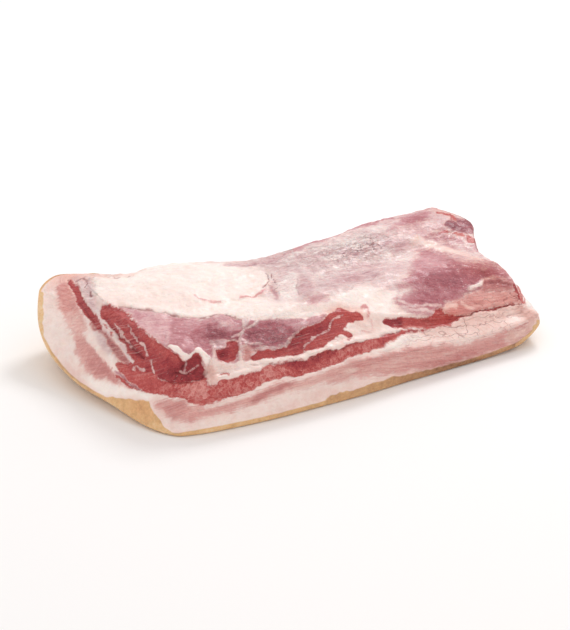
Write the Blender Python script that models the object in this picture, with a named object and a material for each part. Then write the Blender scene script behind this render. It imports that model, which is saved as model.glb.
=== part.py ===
"""A slab of pork belly: one closed solid.

The slab lies on its rind. Its cut faces climb in steps from the rind to the top, its left end and
both near corners curl up off the surface, and its top is an uneven field of fat and muscle.
Lengths below are millimetres. The mesh is in metres, with its origin under the middle of the slab.
"""

import bmesh
import bpy
import numpy as np
from mathutils import Vector, noise

MM = 0.001

# Cells along the four sides of the slab: near, right, far, left.
LONG_CELLS = 60
SHORT_CELLS = 32
SIDE_CELLS = (LONG_CELLS, SHORT_CELLS, LONG_CELLS, SHORT_CELLS)

# Each section: its station (whole numbers are the corners, near left first), the rind's outer edge
# and the top of the cut face, each as x, y and height.
SECTIONS = (
    ("near left corner", 0.00, (-142, -55, 2.5), (-119, -42, 49)),
    ("left of the near side", 0.08, (-127, -72, 1), (-108, -50, 48)),
    ("under the white tag", 0.20, (-98, -78, 1), (-90, -53, 46)),
    ("notch in the upper muscle", 0.35, (-52, -81, 1), (-56, -56, 47)),
    ("middle of the near side", 0.52, (0, -81, 1), (-2, -50, 51)),
    ("end of the upper muscle", 0.64, (40, -79, 1), (36, -53, 43)),
    ("right of the near side", 0.80, (93, -77, 1), (88, -56, 33)),
    ("foot of the right tip", 0.92, (136, -76, 4), (130, -53, 29)),
    ("near right tip", 1.00, (161, -69, 14), (150, -58, 27)),
    ("right end, near", 1.22, (166, -37, 8), (158, -28, 41)),
    ("right end, middle", 1.50, (170, 6, 4), (160, 8, 42)),
    ("right end, far", 1.80, (180, 50, 3), (177, 48, 50)),
    ("far right corner", 2.00, (171, 84, 5), (165, 81, 51.5)),
    ("right of the far side", 2.22, (112, 90, 2), (110, 82, 50)),
    ("sag, right of it", 2.38, (57, 80, 1), (56, 71, 49)),
    ("sag of the far side", 2.54, (4, 80, 1), (2, 70, 45)),
    ("left of the far side", 2.72, (-58, 87, 9), (-60, 79, 50)),
    ("foot of the curled corner", 2.84, (-92, 88, 30), (-90, 79, 50)),
    ("rim of the curled corner", 2.94, (-121, 93, 50), (-109, 80, 50)),
    ("far left corner", 3.00, (-143, 102, 50), (-124, 82, 51)),
    ("curled end, far", 3.08, (-162, 91, 45), (-132, 74, 51)),
    ("curled end, middle", 3.36, (-173, 56, 25), (-134, 44, 52)),
    ("curled end, near", 3.60, (-168, 20, 12), (-131, 10, 52)),
    ("curled end, last", 3.84, (-155, -22, 7.5), (-126, -22, 51)),
)

# The layers of the cut face from the rind up: rows of cells in each, then how far in and how far up
# each layer's top lies, as shares of the way from the rind's edge to the top.
LAYER_ROWS = (1, 3, 3, 1, 3, 1, 3)
STEPPED_FACE = ((0, 0), (0.0, 0.07), (0.03, 0.26), (0.1, 0.5), (0.22, 0.54), (0.4, 0.72), (0.54, 0.74), (1, 1))
LEDGED_FACE = ((0, 0), (0.0, 0.08), (0.02, 0.22), (0.08, 0.56), (0.64, 0.72), (0.8, 0.82), (0.85, 0.86), (1, 1))
SPREAD_FACE = ((0, 0), (0.04, 0.06), (0.3, 0.32), (0.46, 0.49), (0.57, 0.6), (0.74, 0.79), (0.8, 0.85), (1, 1))
FACE_STATIONS = (
    (0.0, SPREAD_FACE),
    (0.15, STEPPED_FACE),
    (0.58, STEPPED_FACE),
    (0.78, LEDGED_FACE),
    (1.0, LEDGED_FACE),
    (1.2, STEPPED_FACE),
    (2.8, STEPPED_FACE),
    (3.05, SPREAD_FACE),
)
LEAN_BULGE = 0.5
LEAN_LAYERS = (2, 4, 6)

# The rind's curl under the edge: rows round the curl, its steepness from a low edge to a high one, and
# the share by which the highest edge's curl reaches in less than a round one.
CURL_ROWS = 5
LOW_EDGE_ANGLE = 35.0
HIGH_EDGE_ANGLE = 84.0
CURL_RISE = 15.0
CURL_TUCK = 0.5

# The keel: a line along the middle of the underside, which the curl runs in towards.
KEEL_ENDS = (-100.0, 110.0)
KEEL_Y = 6.0

# Swells and hollows of the top: middle, half length along, half width across, turn in degrees, height.
SWELLS = (
    ("fat pad", (-72, 48), 62, 30, 2, 3.6),
    ("near muscle", (-52, -33), 62, 15, 2, 4.6),
    ("near muscle's end", (6, -36), 24, 13, 12, 3.0),
    ("seam behind the near muscle", (-40, -4), 75, 8, 4, -2.2),
    ("tendon", (28, -6), 62, 9, 14, 2.2),
    ("right muscle", (100, -16), 58, 22, 7, 7.0),
    ("seam behind the right muscle", (104, 26), 62, 7, 12, -2.4),
    ("far right muscle", (126, 58), 46, 18, 12, 2.6),
)
EDGE_FADE_CELLS = 4.0
WRINKLE_HEIGHT = 0.7
WRINKLE_LENGTH = 17.0


def loop_value(stations, values, at):
    """Smooth closed curve through values, one row for each station, that never overshoots them."""
    knots = np.concatenate([stations[-2:] - 4.0, stations, stations[:2] + 4.0])
    rows = np.concatenate([values[-2:], values, values[:2]])
    steps = np.diff(rows, axis=0) / np.diff(knots)[:, None]
    slopes = np.zeros_like(rows)
    same_way = steps[:-1] * steps[1:] > 0
    both = np.where(same_way, steps[:-1] + steps[1:], 1.0)
    slopes[1:-1] = np.where(same_way, 2 * steps[:-1] * steps[1:] / both, 0.0)
    last = np.searchsorted(knots, at, side="right") - 1
    gap = (knots[last + 1] - knots[last])[:, None]
    t = (at - knots[last])[:, None] / gap
    value = rows[last] * (1 + 2 * t) * (1 - t) ** 2 + rows[last + 1] * t**2 * (3 - 2 * t)
    return value + gap * (slopes[last] * t * (1 - t) ** 2 - slopes[last + 1] * t**2 * (1 - t))


def station_list():
    """Stations round the slab: each side has its own number of cells."""
    sides = [side + np.arange(cells) / cells for side, cells in enumerate(SIDE_CELLS)]
    return np.concatenate(sides)


def face_shares(at):
    """Shares in and up at every row of the cut face, for each station: rows, stations, 2."""
    knots = np.array([station for station, _ in FACE_STATIONS])
    faces = np.array([face for _, face in FACE_STATIONS], float)
    borders = loop_value(knots, faces.reshape(len(knots), -1), at).reshape(len(at), -1, 2)
    rows = []
    for layer, count in enumerate(LAYER_ROWS):
        for row in range(count):
            t = row / count
            rows.append(borders[:, layer] * (1 - t) + borders[:, layer + 1] * t)
    rows.append(borders[:, -1])
    return np.array(rows)


def lean_swell():
    """How far out each row stands: the lean layers bulge between their borders."""
    swell = []
    for layer, count in enumerate(LAYER_ROWS):
        for row in range(count):
            bulge = np.sin(np.pi * row / count) if layer in LEAN_LAYERS else 0.0
            swell.append(LEAN_BULGE * bulge)
    return np.array(swell + [0.0])


def inward_directions(outline):
    """Level unit vectors from each point of the outline towards the nearest point of the keel."""
    keel = np.stack([np.clip(outline[:, 0], *KEEL_ENDS), np.full(len(outline), KEEL_Y)], axis=1)
    inward = np.zeros_like(outline)
    inward[:, :2] = keel - outline[:, :2]
    return inward / np.linalg.norm(inward, axis=1)[:, None]


def curl_rows(edge, inward):
    """Rings of the rind from the flat underside round its curl, up to but without its edge."""
    height = edge[:, 2]
    steep = LOW_EDGE_ANGLE + (HIGH_EDGE_ANGLE - LOW_EDGE_ANGLE) * (1 - np.exp(-height / CURL_RISE))
    steep = np.radians(steep)
    radius = height / (1 - np.cos(steep))
    reach = radius * (1 - CURL_TUCK * height / height.max())
    rings = []
    for row in range(CURL_ROWS):
        angle = steep * row / CURL_ROWS
        ring = edge + inward * (reach * (np.sin(steep) - np.sin(angle)))[:, None]
        ring[:, 2] = radius * (1 - np.cos(angle))
        rings.append(ring)
    return rings


def swell_height(point):
    """Height that the named swells and a fine unevenness add to the top at one point."""
    height = WRINKLE_HEIGHT * noise.noise(Vector((point[0], point[1], 0.0)) / WRINKLE_LENGTH)
    for _, middle, half_length, half_width, turn, rise in SWELLS:
        turn = np.radians(turn)
        dx, dy = point[0] - middle[0], point[1] - middle[1]
        along = (dx * np.cos(turn) + dy * np.sin(turn)) / half_length
        across = (dy * np.cos(turn) - dx * np.sin(turn)) / half_width
        height += rise * np.exp(-((along**2 + across**2) ** 1.5))
    return height


def top_grid(ring):
    """Points inside the top ring, from its four sides, as a grid with the ring as its border."""
    near = np.arange(LONG_CELLS + 1)
    right = np.arange(LONG_CELLS, LONG_CELLS + SHORT_CELLS + 1)
    far = np.arange(LONG_CELLS + SHORT_CELLS, 2 * LONG_CELLS + SHORT_CELLS + 1)[::-1]
    left = np.arange(2 * LONG_CELLS + SHORT_CELLS, len(ring) + 1)[::-1] % len(ring)
    u = np.linspace(0, 1, LONG_CELLS + 1)[:, None, None]
    v = np.linspace(0, 1, SHORT_CELLS + 1)[None, :, None]
    across = ring[near][:, None] * (1 - v) + ring[far][:, None] * v
    along = ring[left][None] * (1 - u) + ring[right][None] * u
    corners = (ring[near[0]] * (1 - u) + ring[near[-1]] * u) * (1 - v)
    corners = corners + (ring[far[0]] * (1 - u) + ring[far[-1]] * u) * v
    grid = across + along - corners
    for i in range(1, LONG_CELLS):
        for j in range(1, SHORT_CELLS):
            edge = min(i, j, LONG_CELLS - i, SHORT_CELLS - j)
            grid[i, j, 2] += swell_height(grid[i, j]) * min(edge / EDGE_FADE_CELLS, 1.0)
    index = np.full((LONG_CELLS + 1, SHORT_CELLS + 1), -1)
    index[:, 0], index[:, -1] = near, far
    index[0, :], index[-1, :] = left, right
    return grid, index


def slab_points():
    """All rings from the flat underside to the top, and the grid that closes the top."""
    at = station_list()
    knots = np.array([station for _, station, _, _ in SECTIONS])
    edge = loop_value(knots, np.array([low for _, _, low, _ in SECTIONS], float), at)
    top = loop_value(knots, np.array([high for _, _, _, high in SECTIONS], float), at)
    inward = inward_directions(edge)
    rings = curl_rows(edge, inward)
    for shares, swell in zip(face_shares(at), lean_swell()):
        ring = edge.copy()
        ring[:, :2] += (top - edge)[:, :2] * shares[:, :1] - inward[:, :2] * swell
        ring[:, 2] += (top - edge)[:, 2] * shares[:, 1]
        rings.append(ring)
    return np.array(rings), *top_grid(rings[-1])


def build_slab():
    rings, grid, index = slab_points()
    everything = np.concatenate([rings.reshape(-1, 3), grid.reshape(-1, 3)])
    middle = (everything.min(axis=0) + everything.max(axis=0)) / 2
    middle[2] = everything[:, 2].min()
    bm = bmesh.new()
    loops = [[bm.verts.new((point - middle) * MM) for point in ring] for ring in rings]
    for low, high in zip(loops, loops[1:]):
        for i in range(len(low)):
            j = (i + 1) % len(low)
            bm.faces.new((low[i], low[j], high[j], high[i]))
    bm.faces.new(loops[0][::-1])
    top = [[None] * (SHORT_CELLS + 1) for _ in range(LONG_CELLS + 1)]
    for i in range(LONG_CELLS + 1):
        for j in range(SHORT_CELLS + 1):
            shared = index[i, j] >= 0
            top[i][j] = loops[-1][index[i, j]] if shared else bm.verts.new((grid[i, j] - middle) * MM)
    for i in range(LONG_CELLS):
        for j in range(SHORT_CELLS):
            bm.faces.new((top[i][j], top[i + 1][j], top[i + 1][j + 1], top[i][j + 1]))
    mesh = bpy.data.meshes.new("pork_belly_slab")
    bm.to_mesh(mesh)
    bm.free()
    mesh.shade_smooth()
    slab = bpy.data.objects.new("pork_belly_slab", mesh)
    bpy.context.scene.collection.objects.link(slab)
    return slab


def raw_meat():
    material = bpy.data.materials.new("raw pork")
    material.use_nodes = True
    shader = material.node_tree.nodes["Principled BSDF"]
    shader.inputs["Base Color"].default_value = (0.62, 0.27, 0.25, 1)
    shader.inputs["Roughness"].default_value = 0.4
    shader.inputs["Metallic"].default_value = 0.0
    return material


for old in list(bpy.data.objects):
    bpy.data.objects.remove(old)
build_slab().data.materials.append(raw_meat())
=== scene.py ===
"""A slab of raw pork belly lying on its rind, with its fat, lean, seams and membranes.

The slab is one piece of meat: knife cuts on its four sides, a flayed top and an uncut rind below.
Its shape is the solid's, made again with finer cells. Its tissues are outlined where they lie in the
photograph, then set on the mesh. Lengths are millimetres, and every finished mesh is in metres.
"""

import bmesh
import bpy
import numpy as np
from mathutils import Matrix, Vector, noise


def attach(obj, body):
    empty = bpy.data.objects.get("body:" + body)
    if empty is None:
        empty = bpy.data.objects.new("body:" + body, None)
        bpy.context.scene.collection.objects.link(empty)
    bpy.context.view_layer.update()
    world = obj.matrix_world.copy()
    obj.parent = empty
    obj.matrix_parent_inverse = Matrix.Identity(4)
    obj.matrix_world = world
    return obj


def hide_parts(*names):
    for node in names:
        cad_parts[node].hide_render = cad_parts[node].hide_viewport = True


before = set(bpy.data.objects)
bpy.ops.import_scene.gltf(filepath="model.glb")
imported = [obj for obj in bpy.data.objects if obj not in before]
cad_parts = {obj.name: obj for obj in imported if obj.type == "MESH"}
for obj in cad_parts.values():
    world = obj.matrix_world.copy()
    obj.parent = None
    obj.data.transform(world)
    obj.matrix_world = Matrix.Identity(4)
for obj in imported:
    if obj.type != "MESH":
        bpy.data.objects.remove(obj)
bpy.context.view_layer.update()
MM = 0.001

# The camera: a long lens a metre away, at the slab's near left and a quarter of a right angle up.
# The photograph is 570 by 630 pixels, and the outlines below are places in it.
PHOTO_WIDE, PHOTO_HIGH = 570, 630
CAMERA_TURN, CAMERA_CLIMB = np.radians(-28.5), np.radians(25.5)
CAMERA_AWAY = 1026.0
CAMERA_AIM = np.array((-10.8, -0.9, 25.7))
SENSOR_HIGH, LENS = 36.0, 81.73

level_share = np.cos(CAMERA_CLIMB)
camera_back = np.array(
    (np.sin(CAMERA_TURN) * level_share, -np.cos(CAMERA_TURN) * level_share, np.sin(CAMERA_CLIMB))
)
camera_right = np.array((np.cos(CAMERA_TURN), np.sin(CAMERA_TURN), 0.0))
camera_up = np.cross(camera_back, camera_right)
camera_place = CAMERA_AIM + CAMERA_AWAY * camera_back
bpy.ops.object.camera_add()
camera = bpy.context.object
camera.data.lens = LENS
camera.data.sensor_width = SENSOR_HIGH
turned = Matrix((camera_right, camera_up, camera_back)).transposed().to_4x4()
camera.matrix_world = Matrix.Translation(camera_place * MM) @ turned
bpy.context.scene.camera = camera


def in_photo(points):
    """Where points of the slab's frame lie in the photograph, in pixels."""
    seen = points - camera_place
    scale = LENS / SENSOR_HIGH * PHOTO_HIGH / -(seen @ camera_back)
    across = PHOTO_WIDE / 2 + seen @ camera_right * scale
    down = PHOTO_HIGH / 2 - seen @ camera_up * scale
    return np.stack([across, down], axis=1)


# The slab's shape: a closed band of cut face round the slab, its rind curling under it and its top
# spanning it. The sections are the solid's: station, rind's outer edge and top of the cut face.
LONG_CELLS, SHORT_CELLS = 256, 140
SECTIONS = (
    ("near left corner", 0.00, (-142, -55, 2.5), (-119, -42, 49)),
    ("left of the near side", 0.08, (-127, -72, 1), (-108, -50, 48)),
    ("under the white tag", 0.20, (-98, -78, 1), (-90, -53, 46)),
    ("notch in the upper muscle", 0.35, (-52, -81, 1), (-56, -56, 47)),
    ("middle of the near side", 0.52, (0, -81, 1), (-2, -50, 51)),
    ("end of the upper muscle", 0.64, (40, -79, 1), (36, -53, 43)),
    ("right of the near side", 0.80, (93, -77, 1), (88, -56, 33)),
    ("foot of the right tip", 0.92, (136, -76, 4), (130, -53, 29)),
    ("near right tip", 1.00, (161, -69, 14), (150, -58, 27)),
    ("right end, near", 1.22, (166, -37, 8), (158, -28, 41)),
    ("right end, middle", 1.50, (170, 6, 4), (160, 8, 42)),
    ("right end, far", 1.80, (180, 50, 3), (177, 48, 50)),
    ("far right corner", 2.00, (171, 84, 5), (165, 81, 51.5)),
    ("right of the far side", 2.22, (112, 90, 2), (110, 82, 50)),
    ("sag, right of it", 2.38, (57, 80, 1), (56, 71, 49)),
    ("sag of the far side", 2.54, (4, 80, 1), (2, 70, 45)),
    ("left of the far side", 2.72, (-58, 87, 9), (-60, 79, 50)),
    ("foot of the curled corner", 2.84, (-92, 88, 30), (-90, 79, 50)),
    ("rim of the curled corner", 2.94, (-121, 93, 50), (-109, 80, 50)),
    ("far left corner", 3.00, (-143, 102, 50), (-124, 82, 51)),
    ("curled end, far", 3.08, (-162, 91, 45), (-132, 74, 51)),
    ("curled end, middle", 3.36, (-173, 56, 25), (-134, 44, 52)),
    ("curled end, near", 3.60, (-168, 20, 12), (-131, 10, 52)),
    ("curled end, last", 3.84, (-155, -22, 7.5), (-126, -22, 51)),
)

# The layers of the cut face from the rind up, and the tissue of each. The faces give how far in and
# how far up each layer's top lies, as shares of the way from the rind's edge to the top.
LAYERS = ("rind", "fat", "lean", "fat", "red", "fat", "red")
LAYER_ROWS = (4, 10, 12, 3, 13, 3, 15)
STEPPED_FACE = ((0, 0), (0.0, 0.07), (0.03, 0.26), (0.1, 0.5), (0.22, 0.54), (0.4, 0.72), (0.54, 0.74), (1, 1))
LEDGED_FACE = ((0, 0), (0.0, 0.08), (0.02, 0.22), (0.08, 0.56), (0.64, 0.72), (0.8, 0.82), (0.85, 0.86), (1, 1))
SPREAD_FACE = ((0, 0), (0.04, 0.06), (0.3, 0.32), (0.46, 0.49), (0.57, 0.6), (0.74, 0.79), (0.8, 0.85), (1, 1))
FACE_STATIONS = (
    (0.0, SPREAD_FACE),
    (0.15, STEPPED_FACE),
    (0.58, STEPPED_FACE),
    (0.78, LEDGED_FACE),
    (1.0, LEDGED_FACE),
    (1.2, STEPPED_FACE),
    (2.8, STEPPED_FACE),
    (3.05, SPREAD_FACE),
)
CURL_ROWS = 10
LOW_EDGE_ANGLE, HIGH_EDGE_ANGLE = 35.0, 84.0
CURL_RISE, CURL_TUCK = 15.0, 0.5
KEEL_ENDS, KEEL_Y = (-100.0, 110.0), 6.0

# Swells and hollows of the top: middle, half length along, half width across, turn, height.
SWELLS = (
    ("fat pad", (-72, 48), 62, 30, 2, 3.6),
    ("near muscle", (-52, -33), 62, 15, 2, 4.6),
    ("near muscle's end", (6, -36), 24, 13, 12, 3.0),
    ("seam behind the near muscle", (-40, -4), 75, 8, 4, -2.2),
    ("tendon", (28, -6), 62, 9, 14, 2.2),
    ("right muscle", (100, -16), 58, 22, 7, 7.0),
    ("seam behind the right muscle", (104, 26), 62, 7, 12, -2.4),
    ("far right muscle", (126, 58), 46, 18, 12, 2.6),
)
EDGE_FADE = 1 / 8
WRINKLE_HEIGHT, WRINKLE_LENGTH = 0.7, 17.0


def loop_value(stations, values, at):
    """Smooth closed curve through values, one row for each station, that never overshoots them."""
    knots = np.concatenate([stations[-2:] - 4.0, stations, stations[:2] + 4.0])
    rows = np.concatenate([values[-2:], values, values[:2]])
    steps = np.diff(rows, axis=0) / np.diff(knots)[:, None]
    slopes = np.zeros_like(rows)
    same_way = steps[:-1] * steps[1:] > 0
    both = np.where(same_way, steps[:-1] + steps[1:], 1.0)
    slopes[1:-1] = np.where(same_way, 2 * steps[:-1] * steps[1:] / both, 0.0)
    last = np.searchsorted(knots, at, side="right") - 1
    gap = (knots[last + 1] - knots[last])[:, None]
    t = (at - knots[last])[:, None] / gap
    value = rows[last] * (1 + 2 * t) * (1 - t) ** 2 + rows[last + 1] * t**2 * (3 - 2 * t)
    return value + gap * (slopes[last] * t * (1 - t) ** 2 - slopes[last + 1] * t**2 * (1 - t))


def curl_rings(edge):
    """Rings of the rind from the flat underside round its curl, up to but without its edge."""
    keel = np.stack([np.clip(edge[:, 0], *KEEL_ENDS), np.full(len(edge), KEEL_Y)], axis=1)
    inward = keel - edge[:, :2]
    inward /= np.linalg.norm(inward, axis=1)[:, None]
    height = edge[:, 2]
    steep = LOW_EDGE_ANGLE + (HIGH_EDGE_ANGLE - LOW_EDGE_ANGLE) * (1 - np.exp(-height / CURL_RISE))
    steep = np.radians(steep)
    radius = height / (1 - np.cos(steep))
    reach = radius * (1 - CURL_TUCK * height / height.max())
    rings = []
    for row in range(CURL_ROWS):
        angle = steep * row / CURL_ROWS
        level = edge[:, :2] + inward * (reach * (np.sin(steep) - np.sin(angle)))[:, None]
        rings.append(np.column_stack([level, radius * (1 - np.cos(angle))]))
    return rings


def face_rings(edge, top, at):
    """Rings of the cut face, from the rind's edge up to the top."""
    knots = np.array([station for station, _ in FACE_STATIONS])
    faces = np.array([face for _, face in FACE_STATIONS], float)
    borders = loop_value(knots, faces.reshape(len(knots), -1), at).reshape(len(at), -1, 2)
    shares = []
    for layer, rows in enumerate(LAYER_ROWS):
        for row in range(rows):
            t = row / rows
            shares.append(borders[:, layer] * (1 - t) + borders[:, layer + 1] * t)
    shares.append(borders[:, -1])
    return [edge + (top - edge) * share[:, [0, 0, 1]] for share in shares]


def swell_height(points):
    """Height that the swells and a fine unevenness add to the top."""
    height = np.array([noise.noise(Vector((x, y, 0.0)) / WRINKLE_LENGTH) for x, y in points])
    height *= WRINKLE_HEIGHT
    for _, middle, half_length, half_width, turn, rise in SWELLS:
        turn = np.radians(turn)
        dx, dy = (points - middle).T
        along = (dx * np.cos(turn) + dy * np.sin(turn)) / half_length
        across = (dy * np.cos(turn) - dx * np.sin(turn)) / half_width
        height += rise * np.exp(-((along**2 + across**2) ** 1.5))
    return height


def top_grid(ring):
    """Points inside the top ring, from its four sides, as a grid with the ring as its border."""
    corners = np.cumsum((0, LONG_CELLS, SHORT_CELLS, LONG_CELLS))
    near = ring[: corners[1] + 1]
    right = ring[corners[1] : corners[2] + 1]
    far = ring[corners[2] : corners[3] + 1][::-1]
    left = np.concatenate([ring[corners[3] :], ring[:1]])[::-1]
    u = np.linspace(0, 1, LONG_CELLS + 1)[:, None, None]
    v = np.linspace(0, 1, SHORT_CELLS + 1)[None, :, None]
    grid = near[:, None] * (1 - v) + far[:, None] * v + left[None] * (1 - u) + right[None] * u
    grid -= (near[0] * (1 - u) + near[-1] * u) * (1 - v) + (far[0] * (1 - u) + far[-1] * u) * v
    inner = grid[1:-1, 1:-1]
    from_side = np.minimum(np.minimum(u, 1 - u) * LONG_CELLS / SHORT_CELLS, np.minimum(v, 1 - v))
    fade = np.minimum(from_side[1:-1, 1:-1, 0] / EDGE_FADE, 1.0)
    inner[..., 2] += swell_height(inner[..., :2].reshape(-1, 2)).reshape(fade.shape) * fade
    return grid


stations = np.concatenate(
    [side + np.arange(cells) / cells for side, cells in enumerate((LONG_CELLS, SHORT_CELLS) * 2)]
)
section_at = np.array([station for _, station, _, _ in SECTIONS])
rind_edge = loop_value(section_at, np.array([low for _, _, low, _ in SECTIONS], float), stations)
top_edge = loop_value(section_at, np.array([high for _, _, _, high in SECTIONS], float), stations)
rings = np.array(curl_rings(rind_edge) + face_rings(rind_edge, top_edge, stations))
grid = top_grid(rings[-1])
FACE_ROWS = sum(LAYER_ROWS)
ALL_ROWS = CURL_ROWS + FACE_ROWS

bpy.ops.object.select_all(action="DESELECT")
bpy.ops.mesh.primitive_cube_add(size=1, location=(0.5, 0.5, 0.5))
slab = bpy.context.object
slab.name = slab.data.name = "belly_meat"
bpy.ops.object.transform_apply(location=True, rotation=True, scale=True)
bpy.ops.object.mode_set(mode="EDIT")
bpy.ops.mesh.select_mode(type="FACE")
bpy.ops.mesh.select_all(action="DESELECT")
box = bmesh.from_edit_mesh(slab.data)
for face in box.faces:
    face.select_set(face.normal.z < -0.5)
bpy.ops.mesh.delete(type="ONLY_FACE")


def cut_box(axis, *pieces):
    """Cuts every edge of the box along one axis into equal pieces, then each of those again."""
    bpy.ops.mesh.select_mode(type="EDGE")
    for count in pieces:
        bpy.ops.mesh.select_all(action="DESELECT")
        box = bmesh.from_edit_mesh(slab.data)
        for edge in box.edges:
            way = edge.verts[1].co - edge.verts[0].co
            edge.select_set(abs(way[axis]) > way.length / 2)
        bpy.ops.mesh.subdivide(number_cuts=count - 1)


cut_box(2, ALL_ROWS)
cut_box(0, LONG_CELLS // 4, 4)
cut_box(1, SHORT_CELLS // 4, 4)
bpy.ops.object.mode_set(mode="OBJECT")

# Each vertex of the box has a column round the slab and a row up it, or a place in the top's grid.
count = len(slab.data.vertices)
place = np.empty(count * 3, np.float32)
slab.data.vertices.foreach_get("co", place)
place = place.reshape(-1, 3)
across = np.rint(place[:, 0] * LONG_CELLS).astype(int)
deep = np.rint(place[:, 1] * SHORT_CELLS).astype(int)
row = np.rint(place[:, 2] * ALL_ROWS).astype(int)
on_near, on_right = deep == 0, across == LONG_CELLS
on_far, on_left = deep == SHORT_CELLS, across == 0
column = np.select(
    [on_near & ~on_right, on_right & ~on_far, on_far & ~on_left, on_left],
    [
        across,
        LONG_CELLS + deep,
        2 * LONG_CELLS + SHORT_CELLS - across,
        (2 * (LONG_CELLS + SHORT_CELLS) - deep) % len(stations),
    ],
    -1,
)
on_side = column >= 0
points = np.where(on_side[:, None], rings[row, column], grid[across, deep])
middle = (points.min(axis=0) + points.max(axis=0)) / 2
middle[2] = points[:, 2].min()
points -= middle


def set_points(piece, places):
    """Moves a piece's vertices to places in millimetres."""
    piece.data.vertices.foreach_set("co", (places * MM).astype(np.float32).ravel())
    piece.data.update()


set_points(slab, points)
bpy.ops.object.mode_set(mode="EDIT")
bpy.ops.mesh.select_all(action="DESELECT")
box = bmesh.from_edit_mesh(slab.data)
for edge in box.edges:
    edge.select_set(edge.is_boundary)
bpy.ops.mesh.edge_face_add()
bpy.ops.mesh.select_all(action="SELECT")
bpy.ops.mesh.normals_make_consistent(inside=False)
bpy.ops.object.mode_set(mode="OBJECT")

# The slab's tissues: rind, fat, pale seam skin, pink lean, dark red lean and muscle under a purple
# membrane. Each is known by how deep inside it a vertex lies, in millimetres, negative outside it.
PIXEL = CAMERA_AWAY / (LENS / SENSOR_HIGH * PHOTO_HIGH)
NOWHERE = -30.0
TISSUES = ("rind", "fat", "skin", "lean", "red", "mauve")
# The crease change is painted shade: dark lines in folds, hollows and cracks.
CHANGES = ("tone", "warm", "wrinkled", "grainy", "stranded", "cracked", "crease_shade", "vein")

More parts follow.
